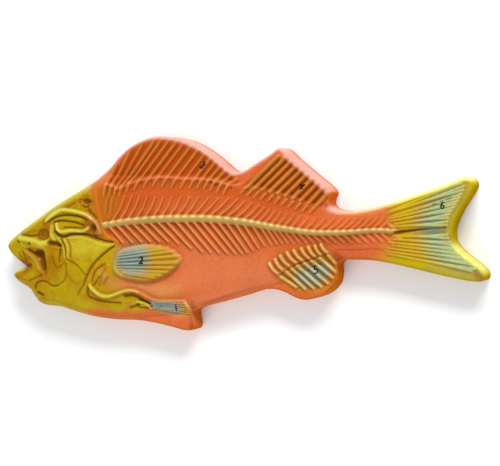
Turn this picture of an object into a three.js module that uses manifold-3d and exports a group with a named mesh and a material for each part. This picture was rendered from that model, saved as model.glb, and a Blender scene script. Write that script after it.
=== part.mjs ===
// A moulded relief model of a bony fish's skeleton, lying on its flat back with its face up.
// Millimetres. X runs from the snout to the tail, Y from the belly to the back, and Z up from
// the flat back. The moulding is parted along the borders of its bones and fins by thin cuts.
import * as THREE from "three";
import { mergeVertices } from "three/addons/utils/BufferGeometryUtils.js";
import Module from "manifold-3d";

const wasm = await Module();
wasm.setup();

// Driving dimensions.
const FIN_FACE = 25; // height of the fins' flat face
const RIM_ROUND = 3; // rounding along the fins' outer edge
const SHOULDER = 15; // height at which the crowned body meets its side wall
const FULLNESS = 0.3; // under 0.5 the crown is flatter on top than an ellipse
const KERF = 0.3; // gap between neighbouring pieces
const REACH = 60; // how far up and down a cutting prism goes
const RELIEF = 1.7; // how far ribs, spines and rays stand up
const BACKBONE_WIDTH = 7;
const BAND = 5; // half width of the strip that belongs to the backbone
const BACKBONE_START = -126;
const BACKBONE_END = 157;
const VERTEBRAE = 34;
const PITCH = (BACKBONE_END - BACKBONE_START) / VERTEBRAE;
const RIB_WIDTH = 3.2;
const RAY_WIDTH = 4;
const TAIL_RAYS = 12; // in each lobe
const GILL_RAISE = 1.2; // how far the gill cover stands above the head round it

// The body without its fins, at stations from the snout to the tail: the station, the line of
// the back, the line of the belly, and the height of the crown between them.
const BODY = [
  [-240, -13, -18, 22], [-236, -7.7, -21.8, 23.5], [-232.4, -4.6, -46, 25],
  [-226, 0.5, -50.6, 27], [-217.5, 5.8, -55.4, 29.5], [-210.6, 10.7, -61.4, 31.5],
  [-206, 14, -68.8, 32.5], [-197.4, 19.5, -72.3, 33.5], [-186, 26.8, -72.8, 34.3],
  [-170, 35.6, -76.5, 35], [-155, 43.7, -79.3, 35], [-140, 52.8, -81.6, 35],
  [-124, 57, -82.6, 34.6], [-102, 54, -83, 34], [-75, 55, -79, 33.6], [-45, 56, -73, 33],
  [-15, 53.5, -64.8, 32.4], [10, 50.5, -57.6, 31.7], [40, 43, -48, 30.7], [70, 34, -34, 29.6],
  [98, 25.5, -22, 28.6], [115, 22.6, -21, 28], [132, 24.8, -21, 27.3], [152, 30, -23.5, 26],
];
const BACKBONE = [
  [-134, 7], [-112, 10.5], [-90, 12.9], [-60, 14.9], [-30, 15.3], [10, 12.9], [50, 7], [89, 3],
  [110, 3.6], [146, 5.8], [160, 4.5],
];
// Where the neural spines and the ribs end, and how far they lean back for each unit of rise.
const SPINE_TIPS = [
  [-125, 24], [-64, 35.4], [-15, 32], [20, 28], [50, 21], [89, 17.6], [150, 18.5],
];
const SPINE_LEAN = [[-121, 0.35], [-72, 0.5], [-9, 1.05], [92, 0.7], [146, 0.45]];
const RIB_TIPS = [
  [-121, -9], [-80, -6.5], [-50, -16.6], [-10, -17.6], [12, -13], [26, -9], [54, -6.8], [133, -7],
  [156, -3],
];
const RIB_LEAN = [
  [-121, 0.85], [-90, 1.1], [-43, 0.85], [-17, 0.58], [26, 0.2], [80, 0.7], [150, 1],
];

// Outlines of the fins.
const SPINY_DORSAL = [
  [-132, 58.2], [-124.9, 64], [-118.8, 70.6], [-105.2, 82.5], [-88.8, 90.2], [-76, 92.6],
  [-61, 92], [-42.8, 88.2], [-27.2, 79.9], [-6.2, 63.8], [5, 58.5], [8, 40], [-60, 44], [-128, 44],
];
const SOFT_DORSAL = [
  [3, 58.6], [16.9, 62.4], [39, 75.8], [44.5, 80], [47.6, 81.2], [50.5, 79.8], [74.8, 60.7],
  [94.6, 44.7], [98, 41.5], [98.2, 38], [94.7, 31.9], [96.5, 27], [98, 18], [20, 32], [3, 40],
];
const TAIL = [
  [138, 25.6], [154.4, 30.9], [169.8, 36], [200, 45.9], [214.4, 51.6], [218.5, 53.3], [225.6, 53],
  [229, 48.3], [226.6, 41.5], [218.3, 27.7], [211.3, 13.2], [209.2, 5.3], [210, -3],
  [214.8, -9.9], [227.4, -19.7], [238.4, -29.8], [240, -33], [239, -36.6], [232.7, -38.4],
  [212.8, -36], [174, -27.8], [138, -21.6],
];
const ANAL = [
  [38, -49.8], [50.3, -51.5], [58.2, -54.5], [66, -57.8], [74.5, -58.9], [84.9, -56.4],
  [92.6, -52.7], [99.3, -48.2], [102.9, -41.1], [103.4, -33], [103.2, -24.7], [106, -15],
  [60, -5], [38, -20],
];
const PELVIC = [
  [-110, -80], [-92, -84], [-76, -86.3], [-58.2, -89.4], [-49, -90.4], [-41.5, -92.6],
  [-38.6, -90], [-38.4, -84.7], [-40.5, -76.4], [-37.5, -71.8], [-45, -56], [-110, -56],
];
const PECTORAL = [
  [-118.9, -31], [-113.5, -17.4], [-104, -12], [-93.5, -9.4], [-77.9, -8.4], [-62.4, -10.4],
  [-53, -15], [-47, -21], [-46, -24.5], [-52.1, -32.5], [-62.4, -40], [-72.8, -44.4],
  [-83.2, -46.4], [-96, -45.6], [-109.4, -43], [-116.9, -39],
];

// Borders between the bones of the head, the shoulder and the fins.
const NAPE_LINE = [
  [-146, 70], [-141, 50], [-135.5, 24.6], [-131.3, 11.1], [-126, -2.4], [-113, -9.5],
];
const GILL_LINE = [
  [-113, -9.5], [-118, -14], [-127.7, -21], [-136.3, -28.5], [-142.8, -36], [-148, -47],
];
const GILL_TOP = [[-177, -3.5], [-166, -6], [-150, -3.5], [-131, -3.5], [-113, -9.5]];
const GILL_FRONT = [[-168, -37], [-169.5, -24], [-173, -11], [-177, -3.5]];
const GILL_COVER = [
  ...GILL_TOP, ...GILL_LINE.slice(1), [-158, -47], ...GILL_FRONT.slice(0, -1),
];
const JAW_LINE = [[-216, -33.2], [-210, -33], [-203, -37.5], [-196, -42.5]];
const MOUTH_BACK = [[-196, -42.5], [-193.8, -37.5], [-198, -28], [-199.3, -16]];
const THROAT_LINE = [
  [-213, -68], [-204.7, -55.5], [-200.5, -48.5], [-191, -48.6], [-183.7, -52.5], [-173, -47.5],
  [-168, -37],
];
const DORSAL_BASE = [
  [-132, 64], [-127, 50], [-115.5, 44], [-97.5, 50.1], [-71.3, 54], [-20, 51], [0, 46.5],
  [8, 47.3],
];
const SOFT_BASE = [[8, 47.3], [26.9, 43.1], [54.3, 35.7], [83.3, 27.5], [100, 24.5]];
const ANAL_BASE = [
  [46, -51], [49.8, -38.5], [58.6, -30.8], [68.3, -25.4], [87.5, -18.8], [96, -17.6], [106, -22],
];
const PELVIC_TOP = [[-79, -65], [-46.8, -62], [-36, -71]];
const GIRDLE_TOP = [
  [-148, -47], [-140, -53], [-128, -56], [-112, -52], [-98, -50], [-88, -53.5], [-76, -59],
  [-46, -58],
];

// A smooth line y(x) through a few points, with no hump that the points don't have.
function smoothLine(points) {
  const secant = (i) => (points[i + 1][1] - points[i][1]) / (points[i + 1][0] - points[i][0]);
  const last = points.length - 1;
  const slope = points.map((_, i) => {
    const before = secant(Math.max(i - 1, 0));
    const after = secant(Math.min(i, last - 1));
    return before * after > 0 ? (2 * before * after) / (before + after) : 0;
  });
  return (x) => {
    let i = 0;
    while (i < last - 1 && x > points[i + 1][0]) i += 1;
    const [x0, y0] = points[i];
    const [x1, y1] = points[i + 1];
    const t = THREE.MathUtils.clamp((x - x0) / (x1 - x0), 0, 1);
    const bend = slope[i] * (1 - t) - slope[i + 1] * t;
    return y0 + (y1 - y0) * t * t * (3 - 2 * t) + bend * t * (1 - t) * (x1 - x0);
  };
}
const [back, belly, crown] = [1, 2, 3].map((column) => {
  return smoothLine(BODY.map((row) => [row[0], row[column]]));
});
const backbone = smoothLine(BACKBONE);

// The height of the crowned body, and of the whole face, at a place.
function bodyHeight(x, y) {
  const middle = (back(x) + belly(x)) / 2;
  const across = (y - middle) / ((back(x) - belly(x)) / 2);
  return SHOULDER + (crown(x) - SHOULDER) * Math.max(1 - across * across, 0) ** FULLNESS;
}
const faceHeight = (x, y) => Math.max(bodyHeight(x, y), FIN_FACE);

// A closed three.js geometry as a solid that can be joined and cut.
function solid(geometry) {
  const bare = geometry.clone();
  bare.deleteAttribute("normal");
  bare.deleteAttribute("uv");
  const merged = mergeVertices(bare, 1e-3);
  const vertProperties = merged.attributes.position.array;
  const triVerts = new Uint32Array(merged.index.array);
  return new wasm.Manifold(new wasm.Mesh({ numProp: 3, vertProperties, triVerts }));
}

// Moves every point of a geometry with a function of its place.
function reshape(geometry, move) {
  const place = geometry.attributes.position;
  const point = new THREE.Vector3();
  for (let i = 0; i < place.count; i += 1) {
    point.fromBufferAttribute(place, i);
    move(point);
    place.setXYZ(i, point.x, point.y, point.z);
  }
  return geometry;
}

// The crowned body: a tube through the stations, cut flat underneath later.
function makeBody() {
  const AROUND = 12;
  const SPREAD = 1.2; // widens the lower half into upright walls
  const tube = new THREE.CylinderGeometry(1, 1, BODY.length - 1, AROUND, BODY.length - 1);
  return solid(
    reshape(tube, (p) => {
      const x = BODY[Math.round((BODY.length - 1) / 2 - p.y)][0];
      const below = p.z < -1e-6;
      const across = below ? THREE.MathUtils.clamp(p.x * SPREAD, -1, 1) : p.x;
      const y = (back(x) + belly(x)) / 2 + (across * (back(x) - belly(x))) / 2;
      p.set(x, y, below ? -REACH : bodyHeight(x, y));
    }),
  );
}

// A closed shape through its corner points.
function closedShape(points) {
  return new THREE.Shape(points.map(([x, y]) => new THREE.Vector2(x, y)));
}

// A plate with a rounded upper edge, whose flat face is at the height given.
function plate(points, top, round = RIM_ROUND) {
  const geometry = new THREE.ExtrudeGeometry(closedShape(points), {
    depth: top + REACH - 2 * round,
    bevelThickness: round,
    bevelSize: round,
    bevelOffset: -round,
    bevelSegments: 1,
  });
  return geometry.translate(0, 0, round - REACH);
}

// A cutting prism over a closed line of points, drawn in all round by an inset.
function prism(points, inset = 0) {
  const SHARPEST = 0.4; // keeps a narrow corner from moving too far
  const corners = points.map(([x, y]) => new THREE.Vector2(x, y));
  const turn = Math.sign(THREE.ShapeUtils.area(corners));
  const moved = corners.map((corner, i) => {
    const before = corner.clone().sub(corners.at(i - 1)).normalize();
    const after = corners[(i + 1) % corners.length].clone().sub(corner).normalize();
    const inward = new THREE.Vector2(-before.y - after.y, before.x + after.x).normalize();
    const mitre = Math.max(inward.dot(new THREE.Vector2(-before.y, before.x)), SHARPEST);
    return corner.clone().addScaledVector(inward, (inset * turn) / mitre);
  });
  const geometry = new THREE.ExtrudeGeometry(new THREE.Shape(moved), {
    depth: 2 * REACH,
    bevelEnabled: false,
  });
  return solid(geometry.translate(0, 0, -REACH));
}

// A tapering bone between two places: the crest of a square rod that is sunk in the face, which
// is as wide as stated where it leaves the face.
function bar(from, to, width, taper = 0.6, height = faceHeight) {
  const SIDES = 4;
  const SUNK = 2.4;
  const UP = new THREE.Vector3(0, 0, 1);
  const radius = (width / 2) * (1 + SUNK / RELIEF);
  const start = new THREE.Vector3(from[0], from[1], height(from[0], from[1]) - SUNK);
  const end = new THREE.Vector3(to[0], to[1], height(to[0], to[1]) - SUNK);
  const along = end.clone().sub(start);
  const rod = new THREE.CylinderGeometry(radius * taper, radius, along.length(), SIDES);
  rod.scale(1, 1, (RELIEF + SUNK) / radius);
  along.normalize();
  const across = along.clone().cross(UP).normalize();
  rod.applyMatrix4(new THREE.Matrix4().makeBasis(across, along, across.clone().cross(along)));
  const middle = start.add(end).multiplyScalar(0.5);
  return solid(rod.translate(middle.x, middle.y, middle.z));
}

// A round ridge along a smooth path on the face, sunk so that only its top stands up.
function ridge(points, width, relief = RELIEF) {
  const sunk = width / 2 - relief;
  const path = new THREE.CatmullRomCurve3(
    points.map(([x, y]) => new THREE.Vector3(x, y, faceHeight(x, y) - sunk)),
  );
  const section = new THREE.Shape().absarc(0, 0, width / 2, 0, 2 * Math.PI);
  const geometry = new THREE.ExtrudeGeometry(section, {
    steps: points.length - 1,
    curveSegments: 3,
    extrudePath: path,
  });
  return solid(geometry);
}

// A shallow oval dent in the face.
function dent([x, y], halfLength, halfWidth, depth) {
  const ball = new THREE.SphereGeometry(1, 8, 6);
  ball.scale(halfLength, halfWidth, depth);
  return solid(ball.translate(x, y, faceHeight(x, y)));
}

// Bars in a row, each from its place on one smooth line to the same place on another.
function fan(count, from, to, width, taper, height) {
  const [roots, tips] = [from, to].map((points) => {
    return new THREE.SplineCurve(points.map(([x, y]) => new THREE.Vector2(x, y)));
  });
  return Array.from({ length: count }, (_, i) => {
    const fraction = (i + 0.5) / count;
    const root = roots.getPoint(fraction).toArray();
    return bar(root, tips.getPoint(fraction).toArray(), width, taper, height);
  });
}

// The vertebrae: a beaded rod that follows the backbone's line.
function makeVertebrae() {
  const WAIST = 0.78; // width between two vertebrae
  const NARROWING = 0.3; // towards the tail
  const FLATNESS = 0.85;
  const SUNK = 0.6;
  const SIDES = 6;
  const profile = [new THREE.Vector2(0, 0)];
  for (let i = 0; i <= VERTEBRAE; i += 1) {
    const wide = (BACKBONE_WIDTH / 2) * (1 - (NARROWING * i) / VERTEBRAE);
    profile.push(new THREE.Vector2(wide * WAIST, i * PITCH));
    if (i < VERTEBRAE) profile.push(new THREE.Vector2(wide, (i + 0.5) * PITCH));
  }
  profile.push(new THREE.Vector2(0, VERTEBRAE * PITCH));
  const beads = new THREE.LatheGeometry(profile, SIDES);
  beads.rotateZ(-Math.PI / 2);
  reshape(beads, (p) => {
    const x = BACKBONE_START + p.x;
    const middle = backbone(x);
    p.set(x, middle + p.y, faceHeight(x, middle) + p.z * FLATNESS - SUNK);
  });
  return solid(beads);
}

// The spines above the backbone and the ribs below it, one of each to a vertebra.
function makeSpinesAndRibs() {
  const spineTip = smoothLine(SPINE_TIPS);
  const spineLean = smoothLine(SPINE_LEAN);
  const ribTip = smoothLine(RIB_TIPS);
  const ribLean = smoothLine(RIB_LEAN);
  const ROOT = BAND + 1; // distance of their roots from the backbone's middle
  const FIRST = 0.6; // the first one's place, in vertebrae
  const bones = [];
  for (let i = 0; i < VERTEBRAE; i += 1) {
    const x = BACKBONE_START + (i + FIRST) * PITCH;
    const spineBase = backbone(x) + ROOT;
    const spineEnd = x + spineLean(x) * (spineTip(x) - spineBase);
    bones.push(bar([x, spineBase], [spineEnd, spineTip(x)], RIB_WIDTH));
    const ribBase = backbone(x) - ROOT;
    const ribEnd = x + ribLean(x) * (ribBase - ribTip(x));
    bones.push(bar([x, ribBase], [ribEnd, ribTip(x)], RIB_WIDTH));
  }
  return bones;
}

// The rays of the fins, and the short bones that carry them.
function makeRays() {
  const spinyRoots = [[-123, 52], [-86, 56.5], [-50, 57], [-14, 54.8], [4, 48]];
  const spinyTips = [
    [-118, 66], [-84, 84.5], [-65, 87.5], [-48, 85.5], [-31, 79.5], [-19, 71.5], [-6, 62],
    [6, 51.5],
  ];
  const spinyBearers = [[-114, 42], [-86, 49.5], [-57, 51], [-28, 49.5], [0, 43.5]];
  const spinyBearerEnds = [[-114, 32], [-91, 39.5], [-63, 41], [-34, 39], [-6, 33.5]];
  const tailRoots = [[158, 23], [158, 4.5]];
  const tailRootsBelow = [[159, 2], [162, -13]];
  const tailTips = [[219, 47], [213, 31], [207, 20], [203.5, 8]];
  const tailTipsBelow = [[203.5, 3], [209, -7.5], [219, -16.5], [232, -27.5]];
  const analRoots = [[51, -39.5], [69, -28.5], [97, -19.5]];
  const analTips = [[58, -46], [77, -47.5], [91, -43], [100, -30]];
  return [
    ...fan(15, spinyRoots, spinyTips, RAY_WIDTH),
    ...fan(14, spinyBearers, spinyBearerEnds, RIB_WIDTH),
    ...fan(11, [[17, 49], [85, 30]], [[48, 73], [95.5, 38.5]], RAY_WIDTH + 1),
    ...fan(8, [[24, 41], [85, 24]], [[19, 33], [79, 17]], RIB_WIDTH),
    ...fan(TAIL_RAYS, tailRoots, tailTips, RAY_WIDTH - 0.8, 0.8),
    ...fan(TAIL_RAYS, tailRootsBelow, tailTipsBelow, RAY_WIDTH - 0.8, 0.8),
    ...fan(8, [[40, -25], [98, -7]], [[48, -33.5], [94.5, -13]], RIB_WIDTH),
    ...fan(8, analRoots, analTips, RAY_WIDTH + 0.6),
    ...fan(6, [[-75, -67], [-71, -82]], [[-47, -66], [-41, -86]], RIB_WIDTH, 1),
  ];
}

// A low leaf laid on the body, which keeps the same height above it all over.
function makeLeaf(points, raise, round) {
  const leaf = reshape(plate(points, 0, round), (p) => {
    p.z += p.z > -REACH / 2 ? bodyHeight(p.x, p.y) + raise : 0;
  });
  return solid(leaf);
}

// The pectoral fin: a leaf on the trunk, with rays that spread towards its free end.
function makePectoral() {
  const RAISE = 2.5;
  const RAYS = 9;
  const roots = [[-104, -40], [-112, -35], [-113, -29], [-109, -22.5], [-100, -16.5]];
  const tips = [[-84, -42.5], [-67, -36.5], [-55.5, -27], [-61, -17.5], [-77, -12.5]];
  const height = (x, y) => bodyHeight(x, y) + RAISE;
  const rays = fan(RAYS, roots, tips, RIB_WIDTH, 1.1, height);
  return makeLeaf(PECTORAL, RAISE, 1.5).add(wasm.Manifold.union(rays));
}

// The head: raised bones, then the mouth, the nostril and the pits between the bones.
function finishHead(model) {
  const CAVITY_FLOOR = 28; // height of the floor of the hollow behind the upper jaw
  const raised = [
    ridge([[-191.6, 10.6], [-186, 16.5], [-173, 22], [-158.7, 20.8], [-148, 18.4], [-137.2, 11.1],
      [-131.5, 1]], 5),
    ridge([[-182, 6], [-177, 1.5], [-165, 1.2], [-147, 2]], 4.4),
    ridge([[-226, -5], [-213, -8.5], [-203, -11], [-196, -8]], 4),
    ridge([[-222, -12], [-214, -19], [-204, -27], [-197.5, -39]], 5),
    ridge([[-209, -46], [-202, -42.5], [-194, -43]], 4.5),
    ridge([[-177, -5.5], [-172.5, -14], [-170.5, -26], [-174, -42]], 4),
    ridge([[-115, -12.5], [-124, -21], [-133, -29.5], [-139.5, -37.5], [-145, -47]], 5),
    ridge([[-143.8, -53.3], [-137.4, -59], [-127.7, -61.4], [-109.6, -55.8], [-97.9, -54.8],
      [-88.5, -58.6], [-76, -62.5], [-60, -62.5]], 5, 2),
  ];
  const mouth = [
    [-245, -26], [-232.4, -24.8], [-225.4, -30.8], [-215, -33.2], [-227.7, -37.6],
    [-232.6, -44.8], [-245, -46],
  ];
  const cavity = prism([[-200, -16], [-194, -19.5], [-192.5, -35], [-195, -38], [-200, -28],
    [-205.5, -22]]).translate(0, 0, REACH + CAVITY_FLOOR);
  const sunk = [
    prism(mouth),
    cavity,
    dent([-194.5, -1.8], 5.4, 4.6, 3),
    dent([-150, 33], 6, 2, 2.5),
    dent([-155, 26.5], 4, 2, 2.5),
    dent([-144, 21.5], 4.5, 3, 2.5),
    dent([-138, 4], 3.5, 4.5, 3),
    dent([-180, -9], 7, 2.6, 3),
  ];
  return model.add(wasm.Manifold.union(raised)).subtract(wasm.Manifold.union(sunk));
}

// The whole moulding in one piece, with its flat back.
function makeModel() {
  const fins = [SPINY_DORSAL, SOFT_DORSAL, TAIL, ANAL, PELVIC].map((line) => {
    return solid(plate(line, FIN_FACE));
  });
  const gillCover = makeLeaf(GILL_COVER, GILL_RAISE, GILL_RAISE);
  const bones = [makeVertebrae(), ...makeSpinesAndRibs(), ...makeRays()];
  const bulk = wasm.Manifold.union([makeBody(), ...fins, gillCover, ...bones]);
  const above = new THREE.BoxGeometry(10 * REACH, 10 * REACH, REACH).translate(0, 0, REACH / 2);
  return finishHead(bulk).add(makePectoral()).intersect(solid(above));
}

// The strip that belongs to the backbone, from the skull to the tail stalk.
const BAND_START = -132;
const BAND_STATIONS = 14;
const BAND_STEP = 18.2;
const ALONG_BACKBONE = Array.from({ length: BAND_STATIONS }, (_, i) => BAND_START + i * BAND_STEP);
const bandAbove = ALONG_BACKBONE.map((x) => [x, backbone(x) + BAND]);
const bandBelow = ALONG_BACKBONE.map((x) => [x, backbone(x) - BAND]).reverse();
const reversed = (line) => [...line].reverse();

// Each piece is cut from what is left, in this order.
const SALMON = 0xe0714a;
const OCHRE = 0xc4ab1c;
const BONE = 0xc0a24e;
const BLUE_GREY = 0x8a9c92;
const pieces = [
  ["pectoral_fin", BLUE_GREY, PECTORAL],
  ["spiny_dorsal_fin", SALMON, [...DORSAL_BASE, [5, 110], [-132, 110]]],
  ["soft_dorsal_fin", SALMON, [...SOFT_BASE, [115, 40], [100, 110], [5, 110]]],
  ["tail_fin", OCHRE, [[150, 60], [153, 22], [157.5, 4], [158, -14], [160, -60], [260, -60], [260, 60]]],
  ["tail_stalk", SALMON, [[103, 60], [103, -23], [112, -60], [170, -60], [170, 60]]],
  ["anal_fin", BLUE_GREY, [...ANAL_BASE, [120, -24], [120, -90], [46, -90]]],
  ["pelvic_fin", BLUE_GREY, [...PELVIC_TOP, [-20, -76], [-20, -110], [-80, -110]]],
  ["lower_jaw", OCHRE, [...JAW_LINE, ...reversed(THROAT_LINE.slice(0, 3)), [-250, -68], [-250, -34]]],
  ["upper_jaw", OCHRE, [...JAW_LINE, ...MOUTH_BACK.slice(1), [-206, -10], [-223, -6], [-250, -4],
    [-250, -34]]],
  ["cheek", OCHRE, [...reversed(GILL_FRONT), ...reversed(THROAT_LINE.slice(2, -1)), ...MOUTH_BACK,
    [-193, -9]]],
  ["gill_cover", OCHRE, GILL_COVER],
  ["throat", OCHRE, [...THROAT_LINE, [-158, -47], [-148, -47], [-154, -60], [-160, -72], [-162, -110],
    [-215, -110]]],
  ["cranium", OCHRE, [...NAPE_LINE, [-131, -3.5], [-170, -8], [-200, -18], [-250, -8], [-250, 90]]],
  ["pelvic_girdle", OCHRE, [...GIRDLE_TOP, [-44, -64], [-60, -80], [-60, -110], [-164, -110],
    [-160, -72], [-154, -60]]],
  ["shoulder_girdle", OCHRE, [...GILL_LINE, ...GIRDLE_TOP.slice(1, 4), [-104, -46], [-98, -30],
    [-104, -14], [-103, -8.5]]],
  ["backbone", BONE, [...bandAbove, ...bandBelow]],
  ["trunk_back", SALMON, [...ALONG_BACKBONE.map((x) => [x, backbone(x)]), [120, 90], [-150, 90]]],
];

const group = new THREE.Group();
function addPiece(name, colour, part) {
  const mesh = part.getMesh();
  const geometry = new THREE.BufferGeometry();
  geometry.setAttribute("position", new THREE.BufferAttribute(mesh.vertProperties, 3));
  geometry.setIndex(new THREE.BufferAttribute(mesh.triVerts, 1));
  const paint = new THREE.MeshStandardMaterial({ color: colour, roughness: 0.45, metalness: 0 });
  const node = new THREE.Mesh(geometry, paint);
  node.name = name;
  group.add(node);
}

let left = makeModel();
for (const [name, colour, border] of pieces) {
  addPiece(name, colour, left.intersect(prism(border, KERF / 2)));
  left = left.subtract(prism(border, -KERF / 2));
}
addPiece("trunk_belly", SALMON, left);

export default group;
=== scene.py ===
# %% [markdown]
# # A moulded relief of a bony fish's skeleton
# The real object is one piece of thick moulded plastic: the whole fish stands out from a flat
# back, its skull, backbone, ribs and fin rays are raised on its face, and it is painted by hand
# and by airbrush. So the model is one closed skin. A relief map of the face is worked out first,
# then a sheet of small squares is cut to the fish's outline, raised to the map and given its
# side wall and its back. The paint is one material that follows painted masks.

# %% The frame
import math

import bmesh
import bpy
import numpy as np
from mathutils import Matrix, Vector
from mathutils.kdtree import KDTree


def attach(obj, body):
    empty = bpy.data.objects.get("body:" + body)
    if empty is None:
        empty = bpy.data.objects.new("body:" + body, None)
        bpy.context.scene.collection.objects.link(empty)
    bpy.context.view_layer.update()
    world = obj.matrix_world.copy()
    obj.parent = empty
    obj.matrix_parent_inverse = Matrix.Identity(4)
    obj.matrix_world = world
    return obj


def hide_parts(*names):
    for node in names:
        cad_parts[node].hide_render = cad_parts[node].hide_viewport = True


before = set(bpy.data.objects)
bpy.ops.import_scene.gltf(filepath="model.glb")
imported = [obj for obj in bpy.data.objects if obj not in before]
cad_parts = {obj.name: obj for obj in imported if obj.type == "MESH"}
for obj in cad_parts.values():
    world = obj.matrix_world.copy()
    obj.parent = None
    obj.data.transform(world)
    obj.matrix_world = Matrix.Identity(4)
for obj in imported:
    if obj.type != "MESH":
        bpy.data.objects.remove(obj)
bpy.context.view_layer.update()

MM = 0.001  # the sizes below are in millimetres

# %% [markdown]
# ## Camera, floor and light
# The model lies on its flat back, so a camera that looks nearly straight down sees it as it hangs
# in a classroom. It stands a little to the tail's side, which shows the thick end walls of the
# fins. A long lens keeps the far tail as large as the near head.

# %% Camera
LENS = 100
DISTANCE = 1301.5
AIM = (17.4, 1.8, 20.0)  # the middle of the view, on the model's face
SIDEWAYS = math.radians(20)  # turned towards the tail
UPWARDS = math.radians(2)  # and a little towards the back fins

out = Vector((math.sin(SIDEWAYS) * math.cos(UPWARDS), math.sin(UPWARDS),
              math.cos(SIDEWAYS) * math.cos(UPWARDS)))
right = Vector((0, 1, 0)).cross(out).normalized()
up = out.cross(right)
camera = bpy.data.objects.new("camera", bpy.data.cameras.new("camera"))
camera.data.lens = LENS
camera.data.clip_end = 10
camera.matrix_world = (Matrix.Translation((Vector(AIM) + DISTANCE * out) * MM)
                       @ Matrix((right, up, out)).transposed().to_4x4())
bpy.context.scene.collection.objects.link(camera)
bpy.context.scene.camera = camera
bpy.context.scene.view_settings.view_transform = "Standard"
print("camera looks along", [round(-c, 3) for c in out])

# %% [markdown]
# A large soft lamp low above the fish's back rakes over the relief. It gives every rib a light
# upper side and a shaded lower one, and the rounded upper rims a pale sheen. A wide dim lamp
# opposite keeps the lower walls readable, and the pale surroundings do the rest.

# %% Lamps and surroundings
def lamp(name, place, size, power, colour=(1, 1, 1)):
    """A square soft lamp that shines at the middle of the model."""
    data = bpy.data.lights.new(name, "AREA")
    data.shape, data.size, data.size_y = "RECTANGLE", size[0], size[1]
    data.energy, data.color = power, colour
    made = bpy.data.objects.new(name, data)
    made.location = place
    made.rotation_euler = (-Vector(place)).to_track_quat("-Z", "Y").to_euler()
    bpy.context.scene.collection.objects.link(made)


lamp("key", (0.45, 1.25, 0.9), (1.0, 0.5), 27)
lamp("fill", (-0.3, -1.1, 1.1), (1.6, 1.2), 13)

world = bpy.data.worlds.new("room")
world.use_nodes = True
world.node_tree.nodes["Background"].inputs["Color"].default_value = (0.95, 0.97, 1.0, 1)
world.node_tree.nodes["Background"].inputs["Strength"].default_value = 0.55
bpy.context.scene.world = world
print(len(bpy.data.lights), "lamps in a pale room")

# %% [markdown]
# The model lies on pale, matt paper that is much larger than the view, so it has no edge in the
# picture. One square does it.

# %% Floor
FLOOR = 6.0  # metres
UNDER_MODEL = 0.0002  # the paper lies this far below the model's back
floor_mesh = bpy.data.meshes.new("floor")
bm = bmesh.new()
bmesh.ops.create_grid(bm, x_segments=1, y_segments=1, size=FLOOR / 2)
bmesh.ops.translate(bm, verts=bm.verts, vec=(0, 0, -UNDER_MODEL))
bm.to_mesh(floor_mesh)
bm.free()
floor = bpy.data.objects.new("floor", floor_mesh)
bpy.context.scene.collection.objects.link(floor)
paper = bpy.data.materials.new("pale_floor")
paper.use_nodes = True
shader = paper.node_tree.nodes["Principled BSDF"]
shader.inputs["Base Color"].default_value = (0.9, 0.9, 0.9, 1)
shader.inputs["Roughness"].default_value = 0.9
floor_mesh.materials.append(paper)
print("floor", FLOOR, "m wide")

# %% [markdown]
# ## Smooth lines
# A moulder's pattern is drawn with fair curves through a few set points. Two helpers do the same:
# one gives a height along the fish, the other a smooth path over its face. The path's speed
# follows the distance between its points, which keeps it from looping where they are close.

# %% Lines and paths
def smooth_line(points):
    """A smooth y(x) through a few points, with no hump that the points don't have."""
    x, y = np.array(points, float).T
    secant = np.diff(y) / np.diff(x)
    before, after = np.r_[secant[0], secant], np.r_[secant, secant[-1]]
    same = before * after > 0
    slope = np.zeros(len(x))
    slope[same] = 2 * before[same] * after[same] / (before[same] + after[same])

    def line(at):
        i = np.clip(np.searchsorted(x, at, side="right") - 1, 0, len(x) - 2)
        width = x[i + 1] - x[i]
        t = np.clip((at - x[i]) / width, 0, 1)
        bend = slope[i] * (1 - t) - slope[i + 1] * t
        return (y[i] + (y[i + 1] - y[i]) * t * t * (3 - 2 * t)
                + bend * t * (1 - t) * width)

    return line


def smooth_path(points, closed=False, spacing=1.5):
    """Points close together on a smooth curve through a few points."""
    p = np.array(points, float)
    if closed:
        p = np.vstack([p[-1], p, p[0], p[1]])
    else:
        p = np.vstack([2 * p[0] - p[1], p, 2 * p[-1] - p[-2]])
    stretches = []
    for four in zip(p, p[1:], p[2:], p[3:]):
        knots = np.cumsum([0] + [np.linalg.norm(b - a) ** 0.5 for a, b in zip(four, four[1:])])
        count = max(2, math.ceil(np.linalg.norm(four[2] - four[1]) / spacing))
        s = np.linspace(knots[1], knots[2], count, endpoint=False)[:, None]
        level = list(four)
        for reach in (1, 2, 2):
            starts = range(1, 2) if len(level) == 2 else range(len(level) - 1)
            level = [
                ((knots[i + reach] - s) * a + (s - knots[i]) * b) / (knots[i + reach] - knots[i])
                for i, (a, b) in zip(starts, zip(level, level[1:]))
            ]
            if len(level) == 1:
                break
        stretches.append(level[0])
    if not closed:
        stretches.append(p[-2:-1])
    return np.vstack(stretches)


print("a smooth path round a corner has", len(smooth_path([(0, 0), (10, 0), (10, 10)])), "points")

# %% [markdown]
# ## The outline
# The outline is what makes the fish: a perch-like body with a high spiny fin, a slanting soft
# fin, a forked tail, and an open mouth. It is drawn stretch by stretch, clockwise from the
# snout. Each stretch says how its rim is rounded: the fins have a tight rim and the body a
# broad, soft one.

# %% Outline
FIN_RIM = (3.0, 22.0)  # how wide the rounding is, and how high it starts
HEAD_RIM = (8.0, 18.0)
BELLY_RIM = (5.0, 20.0)
JAW_RIM = (6.0, 18.0)

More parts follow.
